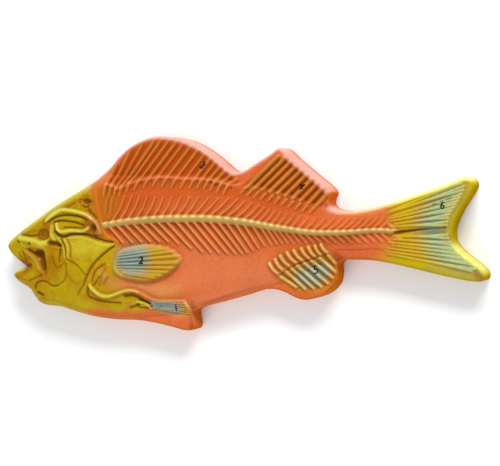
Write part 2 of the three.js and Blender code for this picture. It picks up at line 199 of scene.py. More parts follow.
OUTLINE = [
    (HEAD_RIM, [(-240, -15), (-238.4, -10.5), (-233.8, -5.6), (-226, 0.2), (-210.6, 10.7),
                (-197.4, 19.5), (-186, 26.8), (-170, 35.6), (-155, 43.9), (-140, 52.8)]),
    (FIN_RIM, [(-131, 58.7), (-124, 64.6), (-117.5, 72.2), (-106, 82), (-91, 89.6), (-77, 93),
               (-61, 92.2), (-44, 88.4), (-27.2, 80), (-12, 69), (-3, 61.6)]),
    (FIN_RIM, [(4, 58.6), (11, 59.4), (22, 65.6), (39, 75.8), (45.6, 80.6), (51, 80.2),
               (62, 71), (78, 58), (94.6, 44.9), (98.4, 40), (95.6, 33.4), (96.6, 27.6)]),
    (FIN_RIM, [(103, 24), (115, 22.8), (132, 24.8)]),
    (FIN_RIM, [(154.4, 30.7), (177, 38), (200, 45.6), (211, 50), (219, 53.1), (226.2, 52.4),
               (229.2, 47.6), (226, 39.6), (218.1, 27), (211.4, 13.2), (209.4, 4.3),
               (210.6, -4), (216.5, -11.2), (227.4, -20), (237.6, -28.4), (240, -33.4),
               (238.4, -37.4), (230, -38.6), (212.8, -36.2), (190, -31.7), (165, -26.1),
               (140, -21.9)]),
    (FIN_RIM, [(118, -21.2), (108, -21.6)]),
    (FIN_RIM, [(103.6, -25.4), (103.7, -33.6), (101.8, -43), (95, -51.4), (85, -56.6),
               (73, -59.2), (64, -57.6), (56, -54), (46, -50.6)]),
    (BELLY_RIM, [(34, -50.6), (10, -57.6), (-15, -64.8), (-33, -69.8)]),
    (FIN_RIM, [(-39.4, -73), (-39.4, -79), (-38, -86), (-39.4, -90.6), (-45, -91.8),
               (-58.2, -89.4), (-76, -86)]),
    (BELLY_RIM, [(-95, -84), (-118, -83.9), (-140, -82.2)]),
    (HEAD_RIM, [(-160, -78.7), (-180, -73.4), (-195, -72.4), (-204, -69.8), (-210, -63.4),
                (-214, -57.4)]),
    (JAW_RIM, [(-220.5, -53.4), (-229, -48.8), (-233.4, -43.2), (-231, -39.4), (-225, -36.8),
               (-218.2, -34.6), (-222.6, -31.2), (-228.4, -27.2), (-235, -22)]),
]
OUTLINE_STEP = 0.3
RIM_BLEND = 12.0  # over this length one rim turns into the next

corners = [place for _, places in OUTLINE for place in places]
outline = smooth_path(corners, closed=True, spacing=OUTLINE_STEP)
along = np.roll(outline, -1, 0) - np.roll(outline, 1, 0)
along /= np.linalg.norm(along, axis=1)[:, None]
inward = np.stack([along[:, 1], -along[:, 0]], 1)  # the outline runs clockwise

corner_tree = KDTree(len(corners))
for i, (x, y) in enumerate(corners):
    corner_tree.insert((x, y, 0), i)
corner_tree.balance()
corner_rims = np.array([rim for rim, places in OUTLINE for _ in places])
rims = np.array([corner_rims[corner_tree.find((x, y, 0))[1]] for x, y in outline])
half = round(RIM_BLEND / OUTLINE_STEP / 2)
rims = np.mean([np.roll(rims, shift, 0) for shift in range(-half, half + 1)], 0)

outline_tree = KDTree(len(outline))
for i, (x, y) in enumerate(outline):
    outline_tree.insert((x, y, 0), i)
outline_tree.balance()


def from_outline(x, y):
    """The nearest outline point of each place, and how far inside the outline the place is."""
    nearest = np.array([outline_tree.find((a, b, 0))[1] for a, b in zip(x, y)])
    offset = np.stack([x, y], 1) - outline[nearest]
    return nearest, (offset * inward[nearest]).sum(1)


print("outline:", len(corners), "set points, length",
      round(np.linalg.norm(np.diff(outline, axis=0), axis=1).sum()), "mm")

# %% [markdown]
# ## The relief map
# The relief is worked out on a fine map over the face, the way an engraver plans a mould: first
# the broad crown of the body, then raised pads and sunk fields, then ridges and grooves. Every
# tool below also paints: it leaves its own shape in a mask, so that the paint later sits exactly
# on the bones. Ridges don't add up where they cross, as they wouldn't in a carved pattern.

# %% The map and its tools
STEP = 0.5
X, Y = np.meshgrid(np.arange(-250, 250 + STEP, STEP), np.arange(-102, 102 + STEP, STEP))
ground = np.zeros_like(X)  # pads and fields
raised = np.zeros_like(X)  # ridges
sunk = np.zeros_like(X)  # grooves
MASKS = ["head", "tail", "web", "ray", "bone", "spine", "blue", "pink", "cream_highlight", "wash_and_shade",
         "orange", "shade", "ochre", "brown_tint_and_shade", "stipple"]
masks = {name: np.zeros_like(X) for name in MASKS}


def window(points, reach):
    """The part of the map round some points."""
    low, high = np.min(points, 0) - reach, np.max(points, 0) + reach
    column = [int(np.clip((v - X[0, 0]) / STEP, 0, X.shape[1])) for v in (low[0], high[0])]
    row = [int(np.clip((v - Y[0, 0]) / STEP, 0, X.shape[0])) for v in (low[1], high[1])]
    return slice(row[0], row[1] + 1), slice(column[0], column[1] + 1)


def distance_to(path, x, y):
    """How far each place is from a path, and how far along the path it is, from 0 to 1."""
    best = np.full(x.shape, np.inf)
    share = np.zeros(x.shape)
    for i, (a, b) in enumerate(zip(path[:-1], path[1:])):
        step = b - a
        t = np.clip(((x - a[0]) * step[0] + (y - a[1]) * step[1]) / (step @ step), 0, 1)
        d = np.hypot(x - a[0] - t * step[0], y - a[1] - t * step[1])
        closer = d < best
        best[closer] = d[closer]
        share[closer] = (i + t[closer]) / (len(path) - 1)
    return best, share


def depth_inside(shape, x, y):
    """How far each place is inside a closed shape; outside it is negative."""
    ring = np.vstack([shape, shape[:1]])
    distance, _ = distance_to(ring, x, y)
    within = np.zeros(x.shape, bool)
    for a, b in zip(ring[:-1], ring[1:]):
        if a[1] != b[1]:
            crosses = (a[1] > y) != (b[1] > y)
            within ^= crosses & (x < a[0] + (y - a[1]) * (b[0] - a[0]) / (b[1] - a[1]))
    return np.where(within, distance, -distance)


def ease(t):
    """A soft step from 0 to 1."""
    t = np.clip(t, 0, 1)
    return t * t * (3 - 2 * t)


def paint(mask, area, amount):
    masks[mask][area] = np.maximum(masks[mask][area], amount)


def stroke(points, width, height, mask=None, amount=1.0, taper=(1, 1), sharpness=1.2):
    """A ridge along a path, or a groove where the height is negative."""
    path = smooth_path(points) if len(points) > 2 else np.array(points, float)
    area = window(path, width)
    distance, share = distance_to(path, X[area], Y[area])
    half_width = width / 2 * (taper[0] + (taper[1] - taper[0]) * share)
    lobe = np.clip(1 - (distance / half_width) ** 2, 0, 1) ** sharpness
    target = raised if height > 0 else sunk
    target[area] = np.maximum(target[area], abs(height) * lobe)
    if mask:
        paint(mask, area, amount * lobe)


def field(points, height, edge, mask=None, amount=1.0, fade=None):
    """A raised pad, or a sunk field where the height is negative, with a soft edge."""
    shape = smooth_path(points, closed=True, spacing=2)
    area = window(shape, edge)
    inside = ease(depth_inside(shape, X[area], Y[area]) / edge)
    if fade:
        inside = inside * ease((X[area] - fade[0]) / (fade[1] - fade[0]))
    ground[area] += height * inside
    if mask:
        paint(mask, area, amount * inside)


def zone(points, softness, mask, amount=1.0):
    """Airbrushed paint over a closed shape, with an edge as soft as stated."""
    shape = smooth_path(points, closed=True, spacing=3)
    area = window(shape, softness)
    paint(mask, area, amount * ease(depth_inside(shape, X[area], Y[area]) / softness + 0.5))


def mist(path, width, mask, amount=1.0):
    """Airbrushed paint along a path, fading out to both sides."""
    path = smooth_path(path)
    area = window(path, width / 2)
    distance, _ = distance_to(path, X[area], Y[area])
    paint(mask, area, amount * ease(1 - 2 * distance / width))


def oval(centre, radii, height, mask=None, amount=1.0, turn=0.0):
    """An oval dimple or knob."""
    area = window([centre], max(radii) * 1.3)
    dx, dy = X[area] - centre[0], Y[area] - centre[1]
    c, s = math.cos(math.radians(turn)), math.sin(math.radians(turn))
    t = np.hypot((dx * c + dy * s) / radii[0], (dy * c - dx * s) / radii[1])
    lobe = ease(1.3 - t)
    target = raised if height > 0 else sunk
    target[area] = np.maximum(target[area], abs(height) * lobe)
    if mask:
        paint(mask, area, amount * lobe)


def spaced(points, count):
    """Places in equal steps along a path, half a step from its ends."""
    path = smooth_path(points, spacing=0.5) if len(points) > 2 else np.array(points, float)
    run = np.r_[0, np.linalg.norm(np.diff(path, axis=0), axis=1).cumsum()]
    at = (np.arange(count) + 0.5) / count * run[-1]
    return np.stack([np.interp(at, run, path[:, 0]), np.interp(at, run, path[:, 1])], 1)


def rays(roots, tips, width, height, mask="ray", amount=1.0, taper=(1, 1), bend=0.0):
    """A ray from each root to its tip; no two have quite the same width."""
    for i, (root, tip) in enumerate(zip(np.array(roots, float), np.array(tips, float))):
        side = np.array([root[1] - tip[1], tip[0] - root[0]])
        wide = width * (1 + 0.1 * math.sin(2.4 * i))
        stroke([root, (root + tip) / 2 + bend * side, tip], wide, height, mask, amount, taper)

# %% [markdown]
# The body bulges between the line of the back and the line of the belly, and its bulge dies out
# in the flat fins. A loft through cross-sections would do it too; on a map it is one formula,
# with the two lines and the crown's height given at a few stations along the fish.

# %% Crown of the body
FIN_FACE = 25.0  # height of the fins' flat face
BODY = [  # station, line of the back, line of the belly, height of the crown
    (-240, -8, -24, 26), (-226, 4, -50, 28.5), (-206, 16, -66, 31.5), (-186, 28, -73, 34),
    (-155, 45, -79, 35), (-124, 56, -82, 34.6), (-75, 55, -79, 33.6), (-45, 55, -73, 33),
    (10, 50, -57, 31.7), (40, 43, -48, 30.7), (70, 34, -34, 29.6), (98, 25.5, -22, 28.6),
    (132, 24.8, -21, 27.3), (160, 31, -26, 25.6), (200, 42, -33, 25),
]
CROWN_SHAPE = 0.62  # 0.5 is an ellipse; more blends softer into the fins
back, belly, crown = (smooth_line([(row[0], row[k]) for row in BODY]) for k in (1, 2, 3))
middle = (back(X) + belly(X)) / 2
across = np.clip((Y - middle) / ((back(X) - belly(X)) / 2), -1, 1)
face = FIN_FACE + (crown(X) - FIN_FACE) * (1 - across ** 2) ** CROWN_SHAPE
print("crown is", round(face.max(), 1), "mm high at most")

# %% [markdown]
# ## The backbone and ribs
# The backbone is a beaded rod, one bead to a vertebra. A neural spine leans back above each
# bead and a rib below it. They are set out by a loop along the backbone's own line, with their
# ends on smooth tip lines, because that is how the real fish grows them.

# %% Backbone
BACKBONE = [(-134, 7), (-120, 9), (-112, 10.5), (-90, 12.9), (-60, 14.9), (-30, 15.3), (10, 12.9),
            (50, 7), (89, 3), (110, 3.6), (146, 5.8), (160, 4.5)]
HALF_WIDTH = [(-134, 3.6), (-90, 4.0), (-40, 4.3), (20, 4.0), (80, 3.2), (160, 2.6)]
VERTEBRAE = 36
STATIONS = [  # a vertebra's number, and its place along the fish
    (-1.3, -127.6), (0, -118), (6, -67), (9, -43), (14, -1), (16, 16), (23, 61.6), (29, 104),
    (35, 145.4), (36.8, 157)]
BEAD_RISE = 2.9
backbone, station = smooth_line(BACKBONE), smooth_line(STATIONS)
number_of = smooth_line([(place, number) for number, place in STATIONS])
FIRST, LAST = STATIONS[0][1], STATIONS[-1][1]

BAND = (-4, 24)  # the backbone lies between these heights of the map

area = window([(FIRST - 3, BAND[0]), (LAST + 3, BAND[1])], 2)
x, y = X[area], Y[area]
bead = np.abs(np.cos(math.pi * number_of(x)))  # 1 at the middles, 0 at the waists
aside = (y - backbone(x)) / (smooth_line(HALF_WIDTH)(x) * (0.9 + 0.1 * bead))
body = np.clip(1 - aside ** 2, 0, 1) * ease((x - FIRST + 3) / 4) * ease((LAST + 4 - x) / 5)
raised[area] = np.maximum(raised[area], BEAD_RISE * body ** 0.6 * (0.76 + 0.24 * bead ** 0.7))
paint("spine", area, ease(body * 4))
# painted highlight: a glint on the upper half of each bead
glint = ease(1 - np.abs(aside - 0.5) / 0.42) * (body > 0)
paint("cream_highlight", area, glint * (0.16 + 0.84 * bead ** 3))
# painted shade in the waists between the beads
paint("shade", area, 0.5 * ease(1 - bead / 0.5) * ease(body * 3))
below = [(x, backbone(x) - 6) for x in np.linspace(FIRST + 6, LAST - 40, 14)]
mist(below, 17, "shade", 0.75)  # painted shadow along its lower side
print(VERTEBRAE, "vertebrae on a rod", round(LAST - FIRST), "mm long")

# %% [markdown]
# Each thin bone is a raised stroke with a lighter crest, its tan paint set towards the lit upper
# side as a painted highlight, and a line of painted shade on its shaded side. The spines bend a
# little on their way, the ribs are straight. Both get fainter behind the body's middle, where the
# pattern was carved lower.

# %% Neural spines and ribs
SPINE_TIPS = [(-125, 36), (-112, 36.6), (-92, 35), (-64, 35), (-18, 34), (20, 26.6), (50, 19.6),
              (89, 16), (150, 17.6)]
SPINE_LEAN = [(-121, 0.42), (-75, 0.42), (-45, 0.62), (-10, 0.95), (15, 0.86), (45, 0.6),
              (70, 0.66), (100, 0.92), (120, 0.85), (146, 0.7)]
RIB_TIPS = [(-121, -9), (-80, -7), (-50, -16.6), (-10, -17.6), (12, -13), (26, -9.6), (54, -7),
            (90, -6), (133, -5.4), (156, -2.4)]
RIB_LEAN = [(-121, 0.78), (-97, 0.9), (-72, 0.92), (-43, 0.82), (-18, 0.78), (5, 0.64), (30, 0.54),
            (60, 0.6), (100, 0.72), (150, 0.7)]
RIB_SHIFT = [(0, -2.6), (6, -4), (9, 0), (16, 0), (18, 2.5), (23, 0.4), (35, 1)]
SPINE_KNEE = [(-118, 0.58), (-60, 0.56), (-30, 0.47), (150, 0.48)]  # how far the middle leans
ROOT = 3.0  # the bones start under the backbone's edge
FAINTER = 0.45  # how much lower and paler the rear bones are
FAINT_START, FAINT_OVER = -10, 80  # where they begin to get fainter, and over what length
spine_tip, spine_lean, spine_knee = (smooth_line(p) for p in (SPINE_TIPS, SPINE_LEAN, SPINE_KNEE))
rib_tip, rib_lean = smooth_line(RIB_TIPS), smooth_line(RIB_LEAN)
rib_shift = smooth_line(RIB_SHIFT)


def bone(path, width, height, side, amount, mask="bone"):
    """A raised bone with a lighter crest, partly its tan paint and partly a painted highlight, and
    a thin line of painted shade along its shaded side.
    """
    path = np.array(path, float)
    stroke(path, width, height, taper=(1, 0.6))
    # the crest's tan, shifted towards the lit upper side as a painted highlight
    stroke(path + [-0.15 * side, 0.3], 0.62 * width, 0.01, mask, amount, (1, 0.7))
    # painted shade along the side away from the light
    stroke(path + [0.5 * width * side, -0.5], 2.4, -0.25, "shade", 0.8 * amount, (1, 0.5))


for number in range(VERTEBRAE):
    x = float(station(number))
    base = backbone(x)
    lean = spine_lean(x) * (spine_tip(x) - base)
    knee = (x + spine_knee(x) * lean, base + 0.5 * (spine_tip(x) - base))
    strong = 1 - FAINTER * ease((x - FAINT_START) / FAINT_OVER)
    bone([(x, base + ROOT), knee, (x + lean, spine_tip(x))], 3.8, 1.5 * strong, 1, 0.7 * strong)
    x += float(rib_shift(number))
    bone([(x, base - ROOT), (x + rib_lean(x) * (base - rib_tip(x)), rib_tip(x))], 4.3,
         2.0 * strong, -1, strong)

for x in (-125, -119.6):  # two short bones before the first spine
    bone([(x, 35), (x - 1.6, 19)], 3.6, 0.8, 1, 0.45)
print(VERTEBRAE, "spines and as many ribs")

# %% [markdown]
# ## The fins
# Each fin is a slightly sunk field with raised rays, inside a smooth rim that the moulding needs
# for strength. The field's floor is painted darker than the rays. Short bearer bones below the
# dorsal fins tie them to the body. In the tall front fin every ray runs up from the fin's foot
# line until it meets the top line, so the two lines alone set all the rays' lengths.

# %% Spiny dorsal fin
SPINY_BASE = [(-128, 47.5), (-120.8, 46.3), (-115.5, 43.4), (-104.9, 47.7), (-97.5, 50.1),
              (-84, 52.8), (-71.3, 54.4), (-50.7, 53), (-30.2, 52.4), (-14, 50.4), (0, 46.5),
              (9, 47.2)]
SPINY_TOP = [(-127, 57), (-119, 66.6), (-110, 77.6), (-98, 85.8), (-84, 90.4), (-70, 91.4),
             (-54, 88.6), (-39.2, 83.8), (-30, 79.8), (-18.8, 72.4), (-5.7, 62.2), (7, 52)]
SPINY_FEET = [(0, -127), (1, -121), (3, -110.3), (6, -83), (9, -54.3), (11, -35.5), (15, -8),
              (16, -1.5)]  # a ray's number, and its place
SPINY_LEAN = [(-126, 0.45), (-115, 0.6), (-109, 0.73), (-82, 0.78), (-45, 0.76), (-28, 0.74),
              (-16, 0.88), (4, 1.25)]
SPINY_RAYS = 17
field(SPINY_BASE + SPINY_TOP[::-1], -0.8, 5.0, "web", 0.95)
spiny_base, spiny_top, spiny_lean = (smooth_line(p) for p in (SPINY_BASE, SPINY_TOP, SPINY_LEAN))
feet = smooth_line(SPINY_FEET)(np.arange(SPINY_RAYS))
tall = np.full(SPINY_RAYS, 8.0)
for _ in range(12):  # each ray runs on until it meets the top line
    tall = 0.5 * tall + 0.5 * (spiny_top(feet + spiny_lean(feet) * tall) - spiny_base(feet))
heads = np.stack([feet + spiny_lean(feet) * tall, spiny_base(feet) + tall - 1], 1)
feet_at = np.stack([feet, spiny_base(feet) + 1], 1)
rays(feet_at, heads, 4.4, 1.7, None, taper=(0.85, 1))
rays(feet_at + [-0.3, 0.3], heads + [-0.3, 0.3], 3.3, 0.01, taper=(0.85, 1), amount=0.85)
ends = heads - 0.1 * (heads - feet_at) + [2.6, -1]  # the painted shade beside each ray stops short of the rim
# painted shade along the shaded side of each ray
rays(feet_at + [2.6, 0], ends, 2.6, -0.2, "shade", 0.5)
stroke(SPINY_BASE, 3.2, 0.9, "pink", 0.3)
# painted shade below the fin's foot line
mist([(x, spiny_base(x) - 5) for x in np.linspace(-124, 6, 12)], 10, "shade", 0.3)
FRONT_BEARERS = [(12, 0.1), (10, 0.1), (7, 0.1), (9, 0.15), (9, 0.25)]  # how deep, and their lean
BEARER = (9.0, 0.42)  # the same of all the others
for i, x in enumerate(feet):
    foot = spiny_base(x)
    deep, lean = FRONT_BEARERS[i] if i < len(FRONT_BEARERS) else BEARER
    oval((x - 0.4, foot + 0.2), (2.4, 1.7), 1.7, "pink", 0.95 if i < len(FRONT_BEARERS) else 0.7)
    bone([(x - 1, foot - 1), (x - 1 - lean * deep, foot - deep)], 4.6, 1.5, 1, 0.9, "ray")
    # painted shade beside each bearer
    oval((x + 2.6, foot - 0.3 * deep), (1.3, 0.26 * deep), -0.6, "shade", 0.8, -20)
print(SPINY_RAYS, "rays in the spiny fin, the longest", round(tall.max()), "mm")

# %% [markdown]
# The second back fin has thicker, straight rays between deep, dark furrows. Its feet and its tips
# are set out in equal steps on two smooth lines. A short bearer bone hangs below each gap.

# %% Soft dorsal fin
SOFT_TOP = [(10, 44.8), (32, 60.5), (47.6, 73.4), (54, 71.4), (71, 58.6), (88.6, 43.6),
            (94.6, 37.4)]
SOFT_FOOT = [(91, 31.6), (83.3, 27.4), (64, 33.4), (44.5, 38.4), (26, 42.6)]
SOFT_RAYS = 10
field(SOFT_TOP + SOFT_FOOT, -1.4, 3.5, "web")
feet = spaced([(11.6, 44.6), (27.5, 42.8), (44.2, 40), (64.6, 34.4), (88, 27.4)], SOFT_RAYS)
heads = spaced([(44, 72.4), (50, 73.4), (62.3, 64.6), (77.8, 53.6), (90, 42.4), (95, 35.6)],
               SOFT_RAYS)
rays(feet, heads, 5.8, 2.6, None, taper=(0.95, 1))
rays(feet, heads, 4.4, 0.01, amount=0.9)
# brown wash in each furrow, laid along the rays' lower right sides as painted shade
rays(feet + [2.2, -2.2], heads - 0.06 * (heads - feet) + [2.2, -2.2], 2.2, -0.4, "wash_and_shade", 0.4)
feet = spaced([(12, 44.6), (50, 35), (86, 25.4)], 11)
for x, y in feet:
    bone([(x, y), (x - 4.6, y - 5.6)], 4.4, 1.4, 1, 0.85, "ray")
    # painted shade beside each bearer
    oval((x + 1.6, y + 1), (1.8, 1.4), -0.8, "shade", 0.7)
print(SOFT_RAYS, "rays in the soft fin")

# %% [markdown]
# The rays of a tail fin fork on their way out, which fills the widening fan. Here each ray is two
# strokes from one root that part at the fork. A deep cleft, painted brown, runs on from the
# backbone's end between the two lobes.

# %% Tail fin
TAIL_FIELD = [(150, 23.4), (166, 32.6), (182, 38.2), (200, 44.4), (214, 49.2), (222.4, 49),
              (220.6, 40.6), (214.6, 29.6), (209, 19), (206, 8.7), (207, 1.6), (211.7, -4.6),
              (220, -12.6), (235, -25.4), (237.6, -30.6), (226, -33), (204, -29.4), (176, -22.8),
              (150, -17)]
field(TAIL_FIELD, -1.1, 4.5, "brown_tint_and_shade", 0.3, fade=(156, 190))
FORK = 0.42  # where the rays part, from root to tip
UPPER_TIPS = [(206, 46.6), (219, 48), (218.4, 40), (213, 30), (207, 20), (204.4, 9)]
LOWER_TIPS = [(204.6, 4), (208, -3.4), (217, -12), (232, -25), (226, -30)]


def forked_rays(roots, tips, width, height):
    """Rays that each split in two on their way; there are two tips to a root."""
    for i, root in enumerate(roots):
        root = root + [2.2 * math.sin(2.4 * i), 0]  # they don't start on one line
        pair = tips[2 * i:2 * i + 2]
        fork = root + FORK * (pair.mean(0) - root)
        for tip in pair:
            stroke([root, fork, tip], width, height, "ray", 1.0, (0.6, 1.15))
            # a painted highlight along each ray's upper side, from the fork out
            stroke([fork + [0, 0.5], tip + [0, 0.5]], 1.8, 0.01, "cream_highlight", 0.26, (0.1, 1))


forked_rays(spaced([(151, 27), (154, 19), (156, 8)], 8), spaced(UPPER_TIPS, 16), 3.2, 1.6)
forked_rays(spaced([(157, 2), (154, -6), (148, -16.4)], 7), spaced(LOWER_TIPS, 14), 3.0, 1.6)
stroke([(158.6, 3.8), (166, 5), (177, 6.4), (190, 7.8)], 4.6, -2.2, "wash_and_shade", 1.0, (1, 0.15))
stroke([(176, 6.4), (202, 9)], 2.4, -0.9, "brown_tint_and_shade", 0.5)
# a faint painted highlight on the backbone's end
stroke([(152, 12), (156.2, 9), (158.4, 5), (159.6, 1), (164, -1.6)], 3.6, 0.9, "cream_highlight", 0.12)
oval((203, 9.4), (2.4, 1.6), -0.8, "wash_and_shade", 0.6)
for start, end in (((191.6, 29.2), (195.6, 30.4)), ((199, 32), (201.4, 32.8)),
                   ((204, 33.8), (209.4, 35.6))):  # a scratch over the number
    stroke([start, end], 1.8, -0.3, "wash_and_shade", 0.9)
print("tail rays fork", FORK, "of the way out")

# %% [markdown]
# The fin below the tail stalk has two rows: short curved bars inside the body, and the fin's own
# rays, with a dark seam between the rows. Both rows are set by their end points, because the
# bars' spacing isn't even. The rays' upper sides get painted highlights in cream over the blue,
# and their lower sides painted shade.

# %% Anal fin
ANAL_GAP = [(48, -38.4), (58.6, -30.4), (68.3, -25.4), (77.9, -22.2), (87.5, -18.9), (96, -16.2)]
ANAL_FIELD = [(49, -38), (58, -45), (68.3, -50), (78, -51), (89.5, -49.4), (97.1, -44.6),
              (102.4, -37.4), (103.8, -28.9), (100.6, -20.8), (95.4, -16.6), (87.5, -20),
              (77.9, -23.2), (68.3, -26.4), (58.6, -31.6)]
field(ANAL_FIELD, -1.0, 2.5, "brown_tint_and_shade", 0.35)
bars = (np.array([(40, -26.4), (45.6, -22.6), (50.4, -19), (57, -16), (63.4, -14), (70.6, -12),
                  (77.4, -10.6), (83.6, -9.2), (89.4, -8.4)]),
        np.array([(48, -35.6), (52.8, -32), (59.2, -28.4), (66, -25.4), (72, -23.2), (78.2, -21),
                  (84, -19.2), (89.4, -17.8), (95.4, -15.6)]))
fins = (np.array([(49.6, -38), (55.6, -33.6), (60.8, -30.4), (66.3, -28), (73.1, -25.2),
                  (79.8, -22.8), (87.5, -20.2), (95.4, -17.4)]),
        np.array([(65, -47.8), (73.4, -49.4), (81.6, -48.8), (89, -47), (95, -43.6), (99.8, -38.6),
                  (102.4, -33), (102.8, -26)]))
for (roots, tips), bend in ((bars, -0.08), (fins, -0.01)):
    rays(roots, tips, 4.7, 2.2, None, taper=(1.1, 0.8), bend=bend)
    rays(roots, tips, 3.8, 0.01, taper=(1.1, 0.8), bend=bend)
    # painted shade along the lower side of each ray
    rays(roots - [2, 0.6], tips - [2, 0.6], 2.2, -0.3, "shade", 0.5, bend=bend)
# painted highlights in cream on the upper side of each bar and ray
rays(bars[0] + [0.6, 0.9], bars[1] + [0.6, 0.9], 2.4, 0.01, "cream_highlight", 0.7, (1, 0.5), -0.08)
rays(fins[0] + [0.5, 0.9], fins[1] + [0.5, 0.9], 2.4, 0.01, "cream_highlight", 0.55, (1, 0.7), -0.01)
stroke(ANAL_GAP, 2.4, -1.0, "wash_and_shade", 0.5)
print(len(bars[0]), "bars and", len(fins[0]), "rays in the anal fin")

# %% [markdown]
# The two fins of the lower side lie flat on the body. The one behind the gill cover is a raised
# oval pad whose rays fan out from its front edge; the one on the belly is a narrow strip of
# nearly parallel rays, with a raised rim at its rear end.

# %% Pectoral fin
PECTORAL = [(-118.9, -31), (-113.5, -18.6), (-104, -12.8), (-93.5, -9.8), (-77.9, -8.9),
            (-62.4, -11), (-53, -15), (-47, -20.4), (-45, -23.4), (-49, -29), (-60, -38),
            (-72.8, -44), (-83.2, -46.2), (-96, -45.4), (-109.4, -42.6), (-116.9, -38.4)]
field(PECTORAL, 2.2, 2.8, fade=(-126, -108))
feet = spaced([(-106, -13.4), (-111.6, -19), (-113, -26), (-111.2, -33), (-105, -38.6)], 11)
heads = spaced([(-86, -10.4), (-70, -11), (-56, -14.8), (-48, -21.4), (-54, -30), (-63, -36.6),
                (-78, -42)], 11)
rays(feet, heads, 3.4, 1.4, taper=(0.45, 1.15))
# painted shade below each ray
rays(feet - [0, 1.4], heads - [0, 2.3], 1.7, -0.2, "shade", 0.5, (0.5, 1.1))
# a painted highlight in pink along the pad's lit upper edge
mist([(-112, -18.4), (-104, -13.6), (-93, -10.6), (-77.9, -9.7), (-62.4, -11.8), (-53, -16),
      (-47, -21.6)], 5, "pink", 0.85)
# painted shade along the pad's lower edge
mist([(-104, -45.6), (-92, -47.6), (-78, -46.8), (-62, -40.6), (-50, -31)], 5, "shade", 0.7)

# %% Pelvic fin
PELVIC_FIELD = [(-83, -64.6), (-74, -64), (-62, -64.6), (-46.4, -64.6), (-43.6, -69),
                (-39.6, -76.2), (-52, -77.4), (-66, -76), (-79, -72)]
field(PELVIC_FIELD, -0.6, 4.0, "brown_tint_and_shade", 0.3)
feet = spaced([(-81.6, -64.2), (-78, -71.8)], 5)
heads = spaced([(-46, -64.8), (-40.6, -76.8)], 5)
rays(feet, heads, 2.4, 1.4, taper=(0.6, 1))
# painted shade along the lower side of each ray
rays(feet - [0, 0.9], heads - [0, 1.2], 1.3, -0.3, "wash_and_shade", 0.6, (0.7, 1))
# a painted highlight on the raised rim at the rear end
stroke([(-45.6, -63.2), (-42.4, -68.4), (-39.2, -74.4)], 4.2, 0.9, "cream_highlight", 0.5, (0.8, 0.5))
# painted shade on the end wall, which faces away from the light
mist([(-38.6, -66), (-38.2, -80), (-38.4, -92)], 13, "shade", 1.0)
print("pelvic fin with", len(feet), "rays")

# %% [markdown]
# ## The head
# The skull's bones are broad and smooth, and its story is told by narrow dark grooves between
# them: the rings round the eye, the nostril, the jaw bones and the edge of the gill cover. Each
# is a stroke with its own width and depth. The grooves hold brown paint that was wiped off the
# high places, and painted shade over it.

# %% Raised bones of the head
GILL_COVER = [(-177, -4.5), (-166, -4.8), (-152, -3.6), (-141, -6), (-131, -9.8), (-116, -10.4),
              (-127, -20), (-136, -28), (-143, -37), (-147, -45), (-157, -50), (-168, -40),
              (-169, -24), (-172, -12)]
SKULL_ARCH = [(-183, 18.6), (-176, 22), (-168, 22.2), (-158, 20.8), (-147.3, 18.4)]
field(GILL_COVER, 1.4, 3.4)
# most of these bones carry a painted highlight in cream along their crest
HEAD_BONES = {  # the bone's path, width, height, mask, amount and taper
    "skull arch": ([(-191.6, 10), (-188.6, 14)] + SKULL_ARCH
                   + [(-141, 14.6), (-135.4, 9.6), (-132, 4), (-131, 0)],
                   6.8, 2.4, None, 1, (0.95, 0.55)),
    "arch's pale crest": ([(-190, 12), (-188, 14.6)] + SKULL_ARCH + [(-140, 14)],
                          6.4, 0.1, "cream_highlight", 0.95, (0.95, 0.5)),
    "ear ridge": ([(-179.6, 9), (-178.4, 4.4), (-174.6, 1.4), (-163.2, 2.4), (-150, 1.8),
                   (-144, 5)], 4.6, 2.1, "cream_highlight", 0.85, (1, 1)),
    "bar behind the nostril": ([(-184.6, 6), (-184.8, -1), (-181, -7)],
                               5, 1.5, "cream_highlight", 0.5, (1, 1)),
    "snout ridge": ([(-223, -5.4), (-211.6, -7.2), (-204.1, -8.4), (-198.6, -10.6), (-190, -9.6)],
                    7.4, 2.0, "cream_highlight", 0.85, (1, 1)),
    "below the snout": ([(-210, -10), (-202, -13), (-194, -14)], 6, 0.8, "cream_highlight", 0.25, (1, 1)),
    "gill cover's edge": ([(-166, -5), (-152.2, -3.9), (-140.3, -6.6), (-130, -10.4),
                           (-117.1, -10.6)], 4, 0.9, "cream_highlight", 0.5, (1, 1)),
    "upper jaw": ([(-222, -12), (-214, -19), (-204, -26), (-198.5, -36)],
                  5.6, 1.3, "cream_highlight", 0.25, (1, 1)),
    "mouth's corner": ([(-202, -25.5), (-197.4, -35.6), (-193.6, -41.6)],
                       3.2, 1.5, "orange", 0.5, (1, 1)),
    "front cheek ridge": ([(-177.4, -4.4), (-171.4, -12.5), (-169.2, -24.2)],
                          3.2, 1.6, "cream_highlight", 0.45, (1, 1)),
    "rear cheek ridge": ([(-169.8, -5.2), (-165.6, -13), (-165.6, -23)],
                         3.0, 1.3, "cream_highlight", 0.45, (1, 1)),
    "rear of the skull": ([(-138.7, 41), (-135, 25), (-130.4, 11.4), (-127.4, 3.6), (-124.2, -2),
                           (-118.1, -5), (-112.6, -7.6)], 4.4, 0.9, "orange", 0.35, (1, 1)),
    "lip of the cheek slot": ([(-186, -13.4), (-180, -14.4), (-173.8, -15.2)],
                              2.6, 1.0, "orange", 0.8, (1, 1)),
}
for bone_values in HEAD_BONES.values():
    stroke(*bone_values)
KNOBS = [((-167.3, -26.8), (2.2, 2.4), 0.8), ((-120.8, -21.9), (2.8, 2.8), 0.9),
         ((-123.2, -33.1), (3.2, 5), 0.9)]  # small and orange: centre, radii, height
for centre, radii, knob_height in KNOBS:
    oval(centre, radii, knob_height, "orange", knob_height)
print(len(HEAD_BONES), "raised bones of the head")
